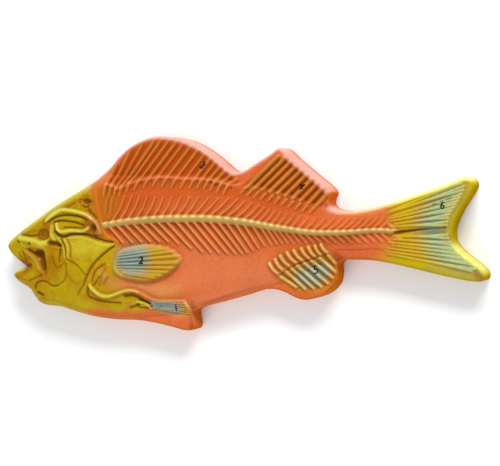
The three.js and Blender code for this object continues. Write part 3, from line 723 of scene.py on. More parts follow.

# %% [markdown]
# The grooves are what the eye reads, so they are set one by one, from the skull's roof down to
# the throat. Each also gets a wider, thin brown haze round it, which is partly painted shade.
# The mouth is a deeper field with a steep edge.

# %% Grooves and pits of the head
GROOVES = [  # points, width, depth, darkness
    ([(-190.4, 9.6), (-186, 12.8), (-180.9, 15.2), (-175.2, 16.8), (-169.5, 17.4),
      (-158.3, 16.9), (-152.7, 15.9), (-146, 12.4)], 2.6, 1.7, 1.0),
    ([(-182.4, 10.4), (-174.8, 11.9), (-163.5, 11.1), (-158, 10.4), (-149.1, 7.6)], 2.8, 1.7, 1.0),
    ([(-170.4, 5.6), (-152.3, 5.3)], 2.0, 0.8, 0.8),
    ([(-182.2, 10.4), (-180.6, 6.4), (-180, 0)], 2.2, 1.3, 0.8),
    ([(-180.4, 1.4), (-177, -1.6), (-170.7, -3.5), (-163.1, -1.2), (-152.2, -0.5),
      (-143, -1.6)], 3.2, 2.1, 1.0),
    ([(-143, -1.8), (-137, -4.2), (-131, -5.6), (-126, -7), (-117.6, -8)], 2.8, 1.7, 1.0),
    ([(-219.8, -2.4), (-209.2, -3.6), (-200, -2.4)], 2.6, 1.2, 0.7),
    ([(-224.6, -8), (-221.4, -12.6), (-217, -15.6), (-211.1, -16.9)], 2.0, 1.1, 0.6),
    ([(-211.1, -16.9), (-204.8, -20.1), (-198.9, -24.3)], 3.4, 1.8, 1.0),
    ([(-218.4, -16.5), (-216.4, -23.8), (-212.5, -31.1)], 2.4, 0.7, 0.45),
    ([(-209.3, -32.6), (-217.6, -33.6)], 3.4, 1.5, 0.8),
    ([(-186.6, -10), (-180.7, -10), (-173.9, -12)], 6.0, 2.3, 1.0),
    ([(-173.9, -15.5), (-175.4, -23), (-175.1, -28.2)], 2.4, 1.4, 0.9),
    ([(-184, -21.6), (-180.7, -31.3), (-178.6, -34.2), (-170.7, -29.1)], 2.0, 0.7, 0.5),
    ([(-173.6, -5), (-168.4, -13), (-167.4, -24)], 1.9, 1.2, 0.8),
    ([(-166, -5.6), (-162.4, -13), (-162.6, -24)], 1.9, 0.9, 0.55),
    ([(-166.2, -25.4), (-155.5, -30.8), (-150.3, -36.5), (-146.1, -40.3)], 1.9, 0.8, 0.7),
    ([(-204.9, -55), (-203.4, -50.8), (-199.6, -48.2), (-194.9, -47.5), (-190.5, -48.4),
      (-187.2, -50.6), (-182.8, -52), (-178.3, -51.4)], 2.2, 1.1, 0.85),
    ([(-178.3, -51.4), (-171.3, -46.8), (-167.6, -35.9), (-168.4, -29)], 2.2, 0.8, 0.45),
    ([(-211, -47.6), (-203, -44.4), (-196.9, -41.8), (-193.5, -41)], 2.2, 0.9, 0.65),
    ([(-201.6, -59), (-196.4, -61.4)], 3.6, 1.6, 0.95),
    ([(-116, -11.4), (-126.5, -19), (-135.1, -26.4), (-141.6, -34.2), (-146.2, -42.3),
      (-149.4, -49)], 2.0, 1.5, 0.75),
    ([(-149.4, -49), (-153, -54), (-156.8, -60)], 2.4, 0.9, 0.5),
    ([(-126.8, -29.4), (-135.3, -34.7), (-138.6, -40), (-140.4, -46)], 2.2, 1.0, 0.65),
    ([(-132.3, -41.5), (-136, -46.8), (-140.1, -50.9)], 2.2, 1.0, 0.6),
    ([(-123.9, -42), (-128.4, -48.7)], 3.0, 0.7, 0.35),
    ([(-144.8, -51.6), (-146.2, -57.4), (-144.6, -61.6), (-137.8, -64), (-130.5, -65.6),
      (-111.5, -67)], 3.4, 1.2, 0.6),
    ([(-141, -57.4), (-133, -63.4), (-124, -64.4)], 3.0, 0.4, 0.12),
    ([(-106, -59.4), (-100, -58.6), (-93, -60.6), (-88, -63)], 4.4, 1.6, 0.7),
    ([(-91, -62.4), (-86, -64.4), (-80.6, -66.4)], 3.6, 1.8, 1.0),
    ([(-101.6, -71), (-97, -69.6), (-94, -67.6)], 3.0, 1.2, 0.7),
    ([(-94.6, -69.6), (-88, -71), (-82, -70.4)], 2.6, 1.0, 0.55),
    ([(-191, -41), (-186.6, -31), (-187, -24)], 1.8, 0.6, 0.4),
    ([(-223.6, -20), (-219, -26.4), (-216, -33)], 2.0, 0.5, 0.35),
    ([(-226, -44.6), (-216, -47), (-206, -52)], 2.0, 0.5, 0.3),
    ([(-133, -50), (-130, -40), (-126, -33)], 2.4, 0.6, 0.35),
    ([(-151.5, 26.4), (-144.6, 24.6)], 3.0, 1.0, 0.6),
    ([(-144.6, 22.4), (-139.4, 18.4), (-135.8, 14.8)], 3.4, 1.2, 0.6),
]
HAZE_SPREAD = 2.9  # how much wider than its groove the brown haze is, which is partly painted shade
for points, width, depth, darkness in GROOVES:
    stroke(points, width, -depth, "wash_and_shade", darkness, (1, 0.75))
    mist(points, HAZE_SPREAD * width, "brown_tint_and_shade", 0.65 * darkness)

PITS = [  # centre, radii, depth, darkness, turn
    ((-146.6, 31), (5.6, 2.6), 1.9, 0.95, -8), ((-138.6, 5.4), (3.6, 4.8), 2.2, 1.0, 0),
    ((-136.4, -3), (3.2, 1.8), 1.8, 1.0, -20), ((-210.4, -11.1), (1.6, 1.6), 1.2, 0.9, 0),
    ((-209.6, -32.4), (2, 1.8), 1.5, 0.9, 0), ((-93.3, -67.6), (1.9, 1.5), 1.2, 0.95, 0),
    ((-79.4, -69.2), (1.8, 1.5), 1.2, 0.95, 0), ((-14, 46.8), (1.4, 1.4), 0.6, 0.9, 0),
    ((-19.4, 49.4), (1.8, 1.2), 0.6, 0.9, 0),
]
for centre, radii, depth, darkness, turn in PITS:
    oval(centre, radii, -depth, "wash_and_shade", darkness, turn)
    # a wider brown haze round each pit, partly painted shade
    oval(centre, [1.8 * r for r in radii], -0.1, "brown_tint_and_shade", 0.7 * darkness, turn)

MOUTH = [(-206, -20.6), (-200.5, -16), (-193, -17), (-191, -24), (-189.4, -33.5), (-191, -38.4),
         (-194.4, -38), (-198, -28)]
field(MOUTH, -3.4, 2.6, "wash_and_shade", 1.0)
NOSTRIL, NOSTRIL_RADII = (-193.6, -1.7), (6.2, 5.0)
oval(NOSTRIL, NOSTRIL_RADII, -2.2, "wash_and_shade", 0.3)
ring = [(NOSTRIL[0] + NOSTRIL_RADII[0] * math.cos(a), NOSTRIL[1] + NOSTRIL_RADII[1] * math.sin(a))
        for a in np.linspace(0, 6, 13)]
stroke(ring, 1.7, -0.4, "wash_and_shade", 0.9)
for i in range(7):  # a row of short scratches on the skull's roof
    start = (-170 + 3.4 * i, 24.6 + 1.9 * i)
    stroke([start, (start[0] + 3.6, start[1] + 0.4)], 2.0, -0.5, "wash_and_shade", 0.35)
print(len(GROOVES), "grooves and", len(PITS), "pits")

# %% [markdown]
# A slim bone winds from the gill cover's lower end back to the belly fin. It is the highest ridge
# of the lower side, and its crest carries a painted highlight, pale yellow at its front and pink
# at its rear.

# %% Bones of the pelvic girdle
GIRDLE = [(-143, -51), (-139, -55.4), (-135.3, -58.4), (-131.1, -60.2), (-125.9, -60.9),
          (-119.4, -59.6), (-113, -57.3), (-107.6, -55.4), (-102.4, -54.4), (-96.1, -54.5),
          (-92, -55.9), (-87, -58.2), (-81, -61.3), (-74.9, -63.2), (-63.7, -63.6), (-46.4, -63)]
stroke(GIRDLE, 5.6, 2.5, None, 1, (1.05, 0.6))
# painted highlight along the crest
stroke(GIRDLE[:11], 5, 0.1, "cream_highlight", 0.85, (1, 0.3))
stroke(GIRDLE[7:], 3.4, 0.1, "pink", 0.9, (0.3, 0.8))
stroke([(-94.4, -65.4), (-88, -66), (-83, -68.6), (-80.4, -71)], 3.0, 1.5, "cream_highlight", 0.7)
oval((-68.6, -70), (1.5, 1.3), -0.2, "orange", 0.8)
stroke([(-104, -66), (-97, -62.6), (-92, -65)], 3.2, 0.8)
# two faint folds in the body, on the tail stalk and along the belly, with painted shade in them
stroke([(102.9, -12.3), (125, -12), (140.1, -10.9), (149.2, -12.6)], 2.4, -0.5, "shade", 0.4)
stroke([(-28, -66), (-8, -59), (20, -50)], 3, -0.4, "shade", 0.3)
print("girdle of", len(GIRDLE), "set points")

# %% [markdown]
# ## Airbrushed colour
# Broad colour was sprayed before the bones were picked out: yellow over the head and tail, blue
# grey on the fins' middles, orange and brown in the shade. These are zones with soft edges and
# bands of mist. Some of them are painted light: pale bands along rims that face up are painted
# highlights, and the shade mask is painted shade in corners and along lower edges. They only say
# where a colour lies; the material lays the colours over another.

# %% Colour of the head
zone([(-260, -120), (-260, 100), (-182, 58), (-144, 41), (-139, 25), (-132, 11), (-126, -2),
      (-113, -9), (-116, -20), (-112, -46), (-100, -56), (-84, -60), (-82, -70), (-108, -74.6),
      (-150, -75), (-168, -120)], 8, "head")
# the skull's roof, speckled and tinted brown, and the pink rim above it, partly a painted highlight
zone([(-166, 33), (-146, 46), (-136, 50), (-137, 34), (-146, 28)], 12, "ochre", 0.4)
zone([(-156, 46), (-140, 58), (-128, 66), (-126, 54), (-138, 46)], 10, "pink", 0.6)
zone([(-166, 27), (-146, 40), (-139, 32), (-136, 14), (-144, 20), (-154, 24)], 6, "orange", 0.25)
zone([(-170, 25), (-147, 38), (-141, 32), (-138, 16), (-146, 21), (-156, 25)], 5, "stipple", 0.75)
# a painted highlight along the forehead's rim
mist([(-232, -9), (-210, 6.5), (-186, 22), (-160, 36.5), (-146, 44.6)], 9, "cream_highlight", 0.4)
mist([(-212, 1), (-196, 13), (-182, 22), (-166, 30)], 9, "brown_tint_and_shade", 0.5)
# the skull's rear end
zone([(-151, 16), (-138, 14), (-130, 0), (-120, -6), (-132, -7), (-150, -3)], 7, "brown_tint_and_shade", 0.8)
# painted shade round the skull's rear end
zone([(-146, 12), (-134, 6), (-126, -4), (-138, -6), (-148, 0)], 8, "shade", 0.6)
mist([(-150, 18.6), (-143, 15.6), (-136.4, 10), (-132, 1)], 8, "pink", 0.8)
mist([(-131, 10), (-128, 3.6), (-124.4, -2), (-118.4, -5.4), (-112.6, -8)], 5, "orange", 0.9)
# the snout and the nostril
zone([(-220, 4), (-206, 6), (-198, 2), (-206, -4), (-218, -4)], 6, "brown_tint_and_shade", 0.6)
mist([(-222, -0.6), (-212, 0.4), (-203, 1.4), (-194, 4)], 6, "brown_tint_and_shade", 0.8)
zone([(-203, 3), (-194, 6), (-187, 3), (-188, -8), (-200, -8)], 6, "brown_tint_and_shade", 0.7)
zone([(-199, 2.6), (-193, 3), (-195, -3), (-199, -3)], 4, "wash_and_shade", 0.5)
# painted shade behind the nostril
zone([(-196, 12), (-188, 14), (-182, 6), (-190, 2)], 6, "shade", 0.5)
# in and round the mouth: painted shade at its edges and a painted glint inside
zone([(-200, -24), (-188, -20), (-178, -32), (-180, -46), (-192, -46)], 12, "shade", 0.5)
zone([(-222, -24), (-210, -24), (-206, -36), (-217, -40)], 9, "shade", 0.7)
zone([(-236, -24), (-224, -32), (-214, -34), (-212, -30), (-222, -27)], 4, "brown_tint_and_shade", 0.9)
zone([(-234, -44), (-222, -38), (-212, -35), (-212, -41), (-224, -45)], 4, "brown_tint_and_shade", 0.5)
zone([(-216, -17), (-206, -14), (-196, -16), (-192, -30), (-190, -42), (-202, -30)], 6, "brown_tint_and_shade",
     0.9)
oval((-198.4, -25.6), (1.2, 1), 0.01, "cream_highlight", 0.8)
# the cheek, the gill cover with a painted highlight on its upper part, and the chin
zone([(-190, -6), (-172, -8), (-170, -34), (-184, -36), (-190, -20)], 8, "brown_tint_and_shade", 0.5)
zone([(-164, -7), (-150, -6), (-138, -9), (-126, -12), (-138, -20), (-156, -22)], 12, "cream_highlight", 0.3)
zone([(-190, -46), (-150, -50), (-148, -36), (-166, -26), (-182, -26), (-204, -46), (-196, -58),
      (-156, -58)], 16, "brown_tint_and_shade", 0.25)
zone([(-212, -46), (-196, -40), (-170, -44), (-180, -56), (-204, -56)], 14, "brown_tint_and_shade", 0.3)
zone([(-216, -66), (-206, -76), (-160, -84), (-150, -74), (-190, -70), (-208, -60)], 10, "brown_tint_and_shade",
     0.15)

# %% Colour of the trunk
# behind the head, where yellow and salmon meet
zone([(-140, 46), (-118, 46), (-112, 24), (-116, 8), (-128, 7), (-138, 26)], 18, "ochre", 0.9)
zone([(-140, 48), (-122, 44), (-116, 24), (-120, 9), (-128, 7), (-138, 28)], 16, "brown_tint_and_shade", 0.16)
zone([(-126, 12), (-100, 14), (-66, 14), (-60, -4), (-80, -10), (-112, -10)], 16, "ochre", 0.35)
zone([(-142, -40), (-116, -44), (-70, -46), (-46, -56), (-60, -63), (-90, -60), (-140, -60)], 20,
     "ochre", 0.6)
# orange between the backbone and the back fins
zone([(-128, 46), (-60, 52), (10, 46), (60, 36), (90, 24), (60, 20), (20, 27), (-40, 33),
      (-100, 22), (-128, 14)], 22, "web", 0.6)
# pink and cream over the belly; along its lower rim the pink is partly a painted highlight
zone([(-134, -34), (-112, -46), (-84, -48), (-50, -50), (-64, -60), (-90, -53), (-116, -56)], 12,
     "pink", 0.35)
zone([(-112, -47), (-84, -48), (-48, -46), (-52, -57), (-90, -52)], 22, "cream_highlight", 0.16)
zone([(-44, -18), (20, -16), (60, -28), (44, -44), (-20, -58), (-50, -50)], 26, "pink", 0.3)
zone([(-60, -84), (-30, -70), (10, -58), (40, -50), (20, -46), (-30, -56), (-60, -72)], 14, "pink",
     0.35)
# the top of the tail stalk with a painted highlight on its upper rim, and painted shade in the
# corners where the fins end and on the anal fin's rear wall
zone([(112, 23), (150, 28), (160, 44), (112, 44)], 5, "tail", 0.55)
zone([(104, 24), (124, 20), (150, 26), (150, 40), (104, 40)], 7, "pink", 0.5)
zone([(92, 30), (101, 28), (103, 23), (93, 24)], 5, "shade", 0.9)
mist([(98.6, 41), (96, 34), (97, 27)], 9, "orange", 0.6)
zone([(100, -14), (106, -15), (112, -22), (104, -26)], 6, "shade", 0.8)
mist([(104, -22), (104, -34), (101, -44), (94, -53)], 8, "shade", 0.45)

# %% Colour of the fins
# the tail: yellow, with blue in its middle, brown tips that are partly painted shade, and a painted
# highlight on its top edge
zone([(150, 60), (155, 24), (159, 0), (152, -14), (136, -40), (260, -60), (260, 70)], 24, "tail")
zone([(200, 41), (218, 50), (220, 46), (212, 30), (206, 18), (203, 9), (206, 1), (214.6, -7),
      (233.6, -24.4), (228, -31.4), (210, -28), (194, -18), (185, -6), (179, 6), (180, 20),
      (190, 33)], 22, "blue", 0.9)
zone([(156, 22), (186, 30), (184, 10), (186, -10), (178, -20), (150, -14)], 18, "orange", 0.22)
mist([(186, -27), (206, -31), (226, -35), (238, -36)], 9, "blue", 0.3)
mist([(150, 30.4), (177, 38.6), (200, 46.4), (212, 50.6), (224, 52)], 4.4, "cream_highlight", 0.6)
mist([(224, 48), (219, 38), (211, 24), (207, 12), (208, 2)], 7, "brown_tint_and_shade", 0.2)
oval((234, -33), (7.5, 4.6), -0.05, "brown_tint_and_shade", 0.9, -30)
oval((228, 50), (3, 4), -0.05, "brown_tint_and_shade", 0.4)
# the pectoral fin: blue in front, yellow behind, with brown that is partly painted shade along its
# lower edge
zone([(-114, -24), (-111, -17), (-98, -12), (-84, -12), (-80, -22), (-82, -32), (-92, -38),
      (-104, -37), (-112, -32)], 18, "blue", 1.0)
zone([(-119, -31), (-112, -18), (-93, -9.6), (-66, -11), (-46, -22), (-56, -35), (-74, -44),
      (-97, -45), (-114, -40)], 6, "tail", 0.6)
mist([(-118, -36), (-109, -42), (-96, -44.8), (-83, -45.6), (-72, -43)], 6, "brown_tint_and_shade", 0.35)
mist([(-111, -16), (-115, -25), (-115, -33), (-109, -38.6)], 11, "cream_highlight", 0.3)
# the pelvic fin
zone([(-81, -64), (-66, -63.6), (-53, -65), (-49.6, -70), (-51, -75.4), (-64, -74.6), (-78, -71)],
     9, "blue", 1.0)
zone([(-80, -65), (-46, -64), (-41, -72), (-41, -77), (-60, -76.4), (-77, -72)], 5, "tail", 0.6)
# the anal fin
zone([(64, -36), (72, -30), (88, -25), (96, -28), (95, -36), (88, -43), (76, -46), (66, -43)],
     12, "blue", 0.8)
zone([(38, -26), (60, -12), (92, -5), (99, -14), (103, -28), (98, -44), (80, -51.6), (60, -48),
      (44, -37)], 8, "ochre", 0.6)
zone([(48, -38), (58, -30), (78, -22), (96, -16), (103, -28), (98, -44), (80, -51.6), (60, -48)],
     6, "tail", 0.35)
print("share of the map that is blue:", round(float((masks["blue"] > 0.5).mean()), 3))

# %% [markdown]
# Paint runs into hollows, and the hollows are darkened further as painted shade. The difference
# between the relief and a blurred copy of it says where a place lies lower than what surrounds
# it, and that is where the wash and the painted shade go.

# %% Hollows
def blur(values, radius):
    """The mean over a square round each place, along each way in turn."""
    count = 2 * round(radius / STEP) + 1
    kernel = np.ones(count) / count
    for axis in (0, 1):
        values = np.apply_along_axis(np.convolve, axis, values, kernel, "same")
    return values


AROUND = 2.5  # a place is compared with what lies this near
FULL_HOLLOW = 1.2  # this much lower than its surroundings, it holds all the wash it can

relief = ground + raised - sunk
relief = 0.5 * relief + 0.5 * blur(relief, STEP)  # as soft as a casting
hollow = np.clip((blur(blur(relief, AROUND), AROUND) - relief) / FULL_HOLLOW, 0, 1)
print("relief from", round(relief.min(), 1), "to", round(relief.max(), 1), "mm")


def sample(values, x, y):
    """The map's value at any place, between its points."""
    u, v = (x - X[0, 0]) / STEP, (y - Y[0, 0]) / STEP
    i = np.clip(u.astype(int), 0, X.shape[1] - 2)
    j = np.clip(v.astype(int), 0, X.shape[0] - 2)
    u, v = u - i, v - j
    return ((1 - v) * ((1 - u) * values[j, i] + u * values[j, i + 1])
            + v * ((1 - u) * values[j + 1, i] + u * values[j + 1, i + 1]))

# %% [markdown]
# ## The skin
# A grid of squares a little smaller than the finest groove is cut to the outline, and its ragged
# border is drawn onto a line just inside the outline. An outline of points with a Solidify
# modifier would be quicker, but its face couldn't carry the relief.

# %% Cut the sheet to the outline
CELL = 0.78
RIM_START = 0.8  # the grid ends this far inside the outline
LENGTH, HEIGHT = 486.0, 192.0
bm = bmesh.new()
bmesh.ops.create_grid(bm, x_segments=round(LENGTH / CELL), y_segments=round(HEIGHT / CELL),
                      size=0.5)
bmesh.ops.scale(bm, vec=(LENGTH, HEIGHT, 1), verts=bm.verts)
centres = np.array([square.calc_center_median().to_tuple() for square in bm.faces])
_, inside = from_outline(centres[:, 0], centres[:, 1])
cut = [square for square, depth in zip(bm.faces, inside) if depth < RIM_START]
bmesh.ops.delete(bm, geom=cut, context="FACES")

on_outline = bm.verts.layers.int.new("on_outline")
row_of = bm.verts.layers.int.new("row")
border = {vert for edge in bm.edges if edge.is_boundary for vert in edge.verts}
second = [vert for vert in bm.verts if vert not in border
          and any(edge.other_vert(vert) in border for edge in vert.link_edges)]
for vert in border:
    nearest = outline_tree.find((vert.co.x, vert.co.y, 0))[1]
    vert[on_outline] = nearest
    vert.co.xy = outline[nearest] + RIM_START * inward[nearest]
for _ in range(2):  # the second row follows the border halfway
    bmesh.ops.smooth_vert(bm, verts=second, factor=0.5, use_axis_x=True, use_axis_y=True)
print("sheet:", len(bm.faces), "squares,", len(border), "border points")

# %% [markdown]
# The border is pulled out in rows: three round the rim, the next ones down the side wall, and
# the last turns under to the flat back, which closes the body. Each row is an extrusion of the
# row before, moved to its place from the outline, so the rim's roundness is the same all round.

# %% Pull the border out into the rim, the wall and the back
RIM_ROWS = [0.45, 0.15, 0.0]  # distances inside the outline
WALL_ROWS = [0.72, 0.4, 0.04]  # shares of the wall's height
UNDER = 0.9  # how far the bottom edge is rounded under
edges = [edge for edge in bm.edges if edge.is_boundary]
for row in range(1, len(RIM_ROWS) + len(WALL_ROWS) + 2):
    made = bmesh.ops.extrude_edge_only(bm, edges=edges)["geom"]
    edges = [item for item in made if isinstance(item, bmesh.types.BMEdge) and item.is_boundary]
    inset = RIM_ROWS[row - 1] if row <= len(RIM_ROWS) else 0.0
    if row > len(RIM_ROWS) + len(WALL_ROWS):
        inset = UNDER
    for vert in (item for item in made if isinstance(item, bmesh.types.BMVert)):
        vert[row_of] = row
        vert.co.xy = outline[vert[on_outline]] + inset * inward[vert[on_outline]]
back_faces = bmesh.ops.contextual_create(bm, geom=edges)["faces"]
print("rows done, back faces:", len(back_faces))

# %% [markdown]
# Only now does the flat sheet get its height: the crown, the relief and the rounded rim, all from
# the map. The relief starts a little inside the outline, so that no ray notches the rim.

# %% Raise the face
RELIEF_START = 2.5  # it has its full height this far inside the outline

x, y = np.array([vert.co.xy for vert in bm.verts], float).T
rows = np.array([vert[row_of] for vert in bm.verts])
nearest, depth = from_outline(x, y)
stored = np.array([vert[on_outline] for vert in bm.verts])
nearest = np.where(rows > 0, stored, nearest)
row_depths = np.array([0.0] + RIM_ROWS + [0.0] * (len(WALL_ROWS) + 1))
depth = np.where(rows > 0, row_depths[rows], depth)
rim_width, rim_height = rims[nearest].T
turn_in = np.sqrt(1 - (1 - np.clip(depth / rim_width, 0, 1)) ** 2)
carved = sample(relief, x, y) * ease(depth / RELIEF_START)
height = rim_height + (sample(face, x, y) + carved - rim_height) * turn_in
height = height * np.array([1.0] * (len(RIM_ROWS) + 1) + WALL_ROWS + [0.0])[rows]
for vert, z in zip(bm.verts, height):
    vert.co.z = z
bmesh.ops.scale(bm, vec=(MM, MM, MM), verts=bm.verts)
bmesh.ops.recalc_face_normals(bm, faces=bm.faces)
bm.verts.layers.int.remove(bm.verts.layers.int["on_outline"])
bm.verts.layers.int.remove(bm.verts.layers.int["row"])

skin_mesh = bpy.data.meshes.new("fish_relief")
bm.to_mesh(skin_mesh)
bm.free()
skin = bpy.data.objects.new("fish_relief", skin_mesh)
bpy.context.scene.collection.objects.link(skin)
skin_mesh.shade_smooth()
skin_mesh.calc_loop_triangles()
print("skin:", len(skin_mesh.loop_triangles), "triangles, top at",
      round(height.max(), 1), "mm")

# %% [markdown]
# ## Masks on the skin
# Every point of the skin takes the masks' values from the map, as named attributes that the
# paint reads. Bones and washes end at the rim; the broad sprayed colours run on down the walls,
# where their borders get softer. Five more masks come from the shape itself: the hollows, which
# take the wash and painted shade; the rims that face up, which get a painted highlight; the rims
# that face down, which get painted shade; the walls; and the bare edge at the foot. An image
# would need a UV map for this; attributes need only enough points.

# %% Attributes
def attribute(name, values):
    layer = skin_mesh.attributes.new(name, "FLOAT", "POINT")
    layer.data.foreach_set("value", np.clip(values, 0, 1).astype(np.float32))


RIM_HIGHLIGHT_REACH = (3.0, 5.0)  # how wide the painted highlight on the upper rims is, and how much wider to the right
BROAD = ("head", "tail", "ochre", "pink")  # paint that runs on down the side walls
WALL_FADE = 9.0  # how much softer its borders get there
WALL_BLEND = 7.0  # the softening begins this far inside the outline
LIT_RIM = (3.0, 10.0)  # on the lit upper rims the hollows' darkening is taken away up to here, and is all there from here
LIT_RIM_CLEARING = 0.8  # how much of it the lit rims lose
RIM_HIGHLIGHT_HEIGHT = 7.0  # the painted rim highlight fades out on the wall, up to this height
LOWER_SHADE_REACH = 3.0  # how wide the painted shade on the lower rims is
LOWER_SHADE_HEIGHT = 24.0  # they fade out above about this height
WALL_TOP, WALL_SOFT = 22.5, 6.0  # the wall starts below this, and is full this much lower
FOOT = 0.8  # height of the bare edge

on_face = rows == 0
for name in MASKS:
    values = sample(masks[name], x, y)
    if name in BROAD:
        wide = sample(blur(blur(masks[name], WALL_FADE), WALL_FADE), x, y)
        values += (wide - values) * ease(1 - depth / WALL_BLEND)
    else:
        values *= on_face
    attribute(name, values)
upward, sideways = -inward[nearest, 1], -inward[nearest, 0]
lit = ease(upward * 1.1 - 0.1)
# the upper rims that face the light lose part of the hollows' darkening, so they stay light
lit_rim = lit * (1 - ease((depth - LIT_RIM[0]) / (LIT_RIM[1] - LIT_RIM[0])))
# the wash and the painted shade in the hollows
attribute("hollow", sample(hollow, x, y) * on_face * (1 - LIT_RIM_CLEARING * lit_rim))
rightwards = np.clip(sideways, 0, 1) * (1 - 0.8 * sample(masks["tail"], x, y))
reach = RIM_HIGHLIGHT_REACH[0] + RIM_HIGHLIGHT_REACH[1] * rightwards
in_fin = np.clip(1.7 * sample(masks["web"], x, y), 0, 1) * on_face
# painted highlight: pale paint on the rims that face up, towards the light
attribute("painted_rim_highlight", lit * ease(1.2 - depth / reach) * ease(height / RIM_HIGHLIGHT_HEIGHT) * (1 - in_fin))
# painted shade: darker paint on the rims that face down, away from the light
attribute("painted_lower_shade", ease(0.32 - upward + 0.4 * rightwards) * ease(1 - depth / LOWER_SHADE_REACH)
          * ease(1.25 - height / LOWER_SHADE_HEIGHT))
attribute("wall", np.maximum((WALL_TOP - height) / WALL_SOFT, 1 - depth / RELIEF_START))
attribute("foot", 1 - height / FOOT)
print(len(skin_mesh.attributes), "attributes on", len(skin_mesh.vertices), "points")

# %% [markdown]
# ## The paint
# Hand paint is never even: its layers have ragged borders, its strokes vary in strength, and its
# gloss is patchy. All of that comes from noise on the object's own coordinates, so it needs no
# image and stays in place on the model. A few helpers keep the node trees short to write.

# %% Node helpers
def linear(red, green, blue):
    """A colour as a screen shows it, in the linear values that shaders use."""
    return tuple((c / 255) ** 2.2 for c in (red, green, blue)) + (1.0,)


def socket(group, name, way, kind="NodeSocketFloat", value=None):
    made = group.interface.new_socket(name=name, in_out=way, socket_type=kind)
    if value is not None:
        made.default_value = value


def math_node(tree, operation, a, b=None, clamp=False):
    """A Math node whose inputs are sockets or numbers; gives its output."""
    node = tree.nodes.new("ShaderNodeMath")
    node.operation, node.use_clamp = operation, clamp
    for slot, value in enumerate((a, b)):
        if isinstance(value, bpy.types.NodeSocket):
            tree.links.new(value, node.inputs[slot])
        elif value is not None:
            node.inputs[slot].default_value = value
    return node.outputs[0]


def noise(tree, scale, detail=3.0, stretch=(1, 1, 1), roughness=0.5):
    """Noise on the object's own coordinates, from 0 to 1; the scale is in bumps to a metre."""
    place = tree.nodes.new("ShaderNodeTexCoord")
    mapping = tree.nodes.new("ShaderNodeMapping")
    mapping.inputs["Scale"].default_value = stretch
    texture = tree.nodes.new("ShaderNodeTexNoise")
    texture.inputs["Scale"].default_value = scale
    texture.inputs["Detail"].default_value = detail
    texture.inputs["Roughness"].default_value = roughness
    tree.links.new(place.outputs["Object"], mapping.inputs["Vector"])
    tree.links.new(mapping.outputs["Vector"], texture.inputs["Vector"])
    return texture.outputs["Fac"]


print("a screen's half grey is", round(linear(128, 128, 128)[0], 3), "in linear values")

# %% [markdown]
# A brushed or sprayed layer doesn't end on a clean line. This group shifts a mask up and down
# with noise, but only where the mask is already above nothing, and then sets its strength. Every
# layer below uses it, each with its own raggedness.

# %% Group: ragged border of a paint layer
ragged = bpy.data.node_groups.new("ragged_border", "ShaderNodeTree")
socket(ragged, "Mask", "INPUT")
socket(ragged, "Raggedness", "INPUT", value=0.3)
socket(ragged, "Strength", "INPUT", value=1.0)
socket(ragged, "Cover", "OUTPUT")
entry = ragged.nodes.new("NodeGroupInput")
leave = ragged.nodes.new("NodeGroupOutput")
wobble = math_node(ragged, "SUBTRACT", noise(ragged, 420, 4.0), 0.5)
wobble = math_node(ragged, "MULTIPLY", wobble, entry.outputs["Raggedness"])
middle_only = math_node(ragged, "MULTIPLY", entry.outputs["Mask"], 4.0, clamp=True)
wobble = math_node(ragged, "MULTIPLY", wobble, middle_only)
cover = math_node(ragged, "ADD", entry.outputs["Mask"], wobble, clamp=True)
cover = math_node(ragged, "MULTIPLY", cover, entry.outputs["Strength"], clamp=True)
ragged.links.new(cover, leave.inputs["Cover"])
print("group", ragged.name, "with", len(ragged.nodes), "nodes")

# %% [markdown]
# Both the painted plastic and the ink are a little uneven. This group puts out a brightness round
# one, from broad and fine noise, and a grain from 0 to 1 that makes the gloss patchy.

# %% Group: unevenness of paint
uneven = bpy.data.node_groups.new("uneven_paint", "ShaderNodeTree")
socket(uneven, "Amount", "INPUT", value=0.1)
socket(uneven, "Brightness", "OUTPUT")
socket(uneven, "Grain", "OUTPUT")
entry = uneven.nodes.new("NodeGroupInput")
leave = uneven.nodes.new("NodeGroupOutput")
broad = math_node(uneven, "SUBTRACT", noise(uneven, 45, 3.0), 0.5)
fine = math_node(uneven, "SUBTRACT", noise(uneven, 700, 3.0), 0.5)
mixed = math_node(uneven, "ADD", broad, math_node(uneven, "MULTIPLY", fine, 1.2))
scaled = math_node(uneven, "MULTIPLY", mixed, entry.outputs["Amount"])
uneven.links.new(math_node(uneven, "ADD", scaled, 1.0), leave.inputs["Brightness"])
uneven.links.new(noise(uneven, 1500, 2.0), leave.inputs["Grain"])
print("group", uneven.name, "with", len(uneven.nodes), "nodes")

# %% [markdown]
# The colours are named for what they paint. They are given as a screen shows them and made linear
# by the helper, because a shader mixes light and not screen values.

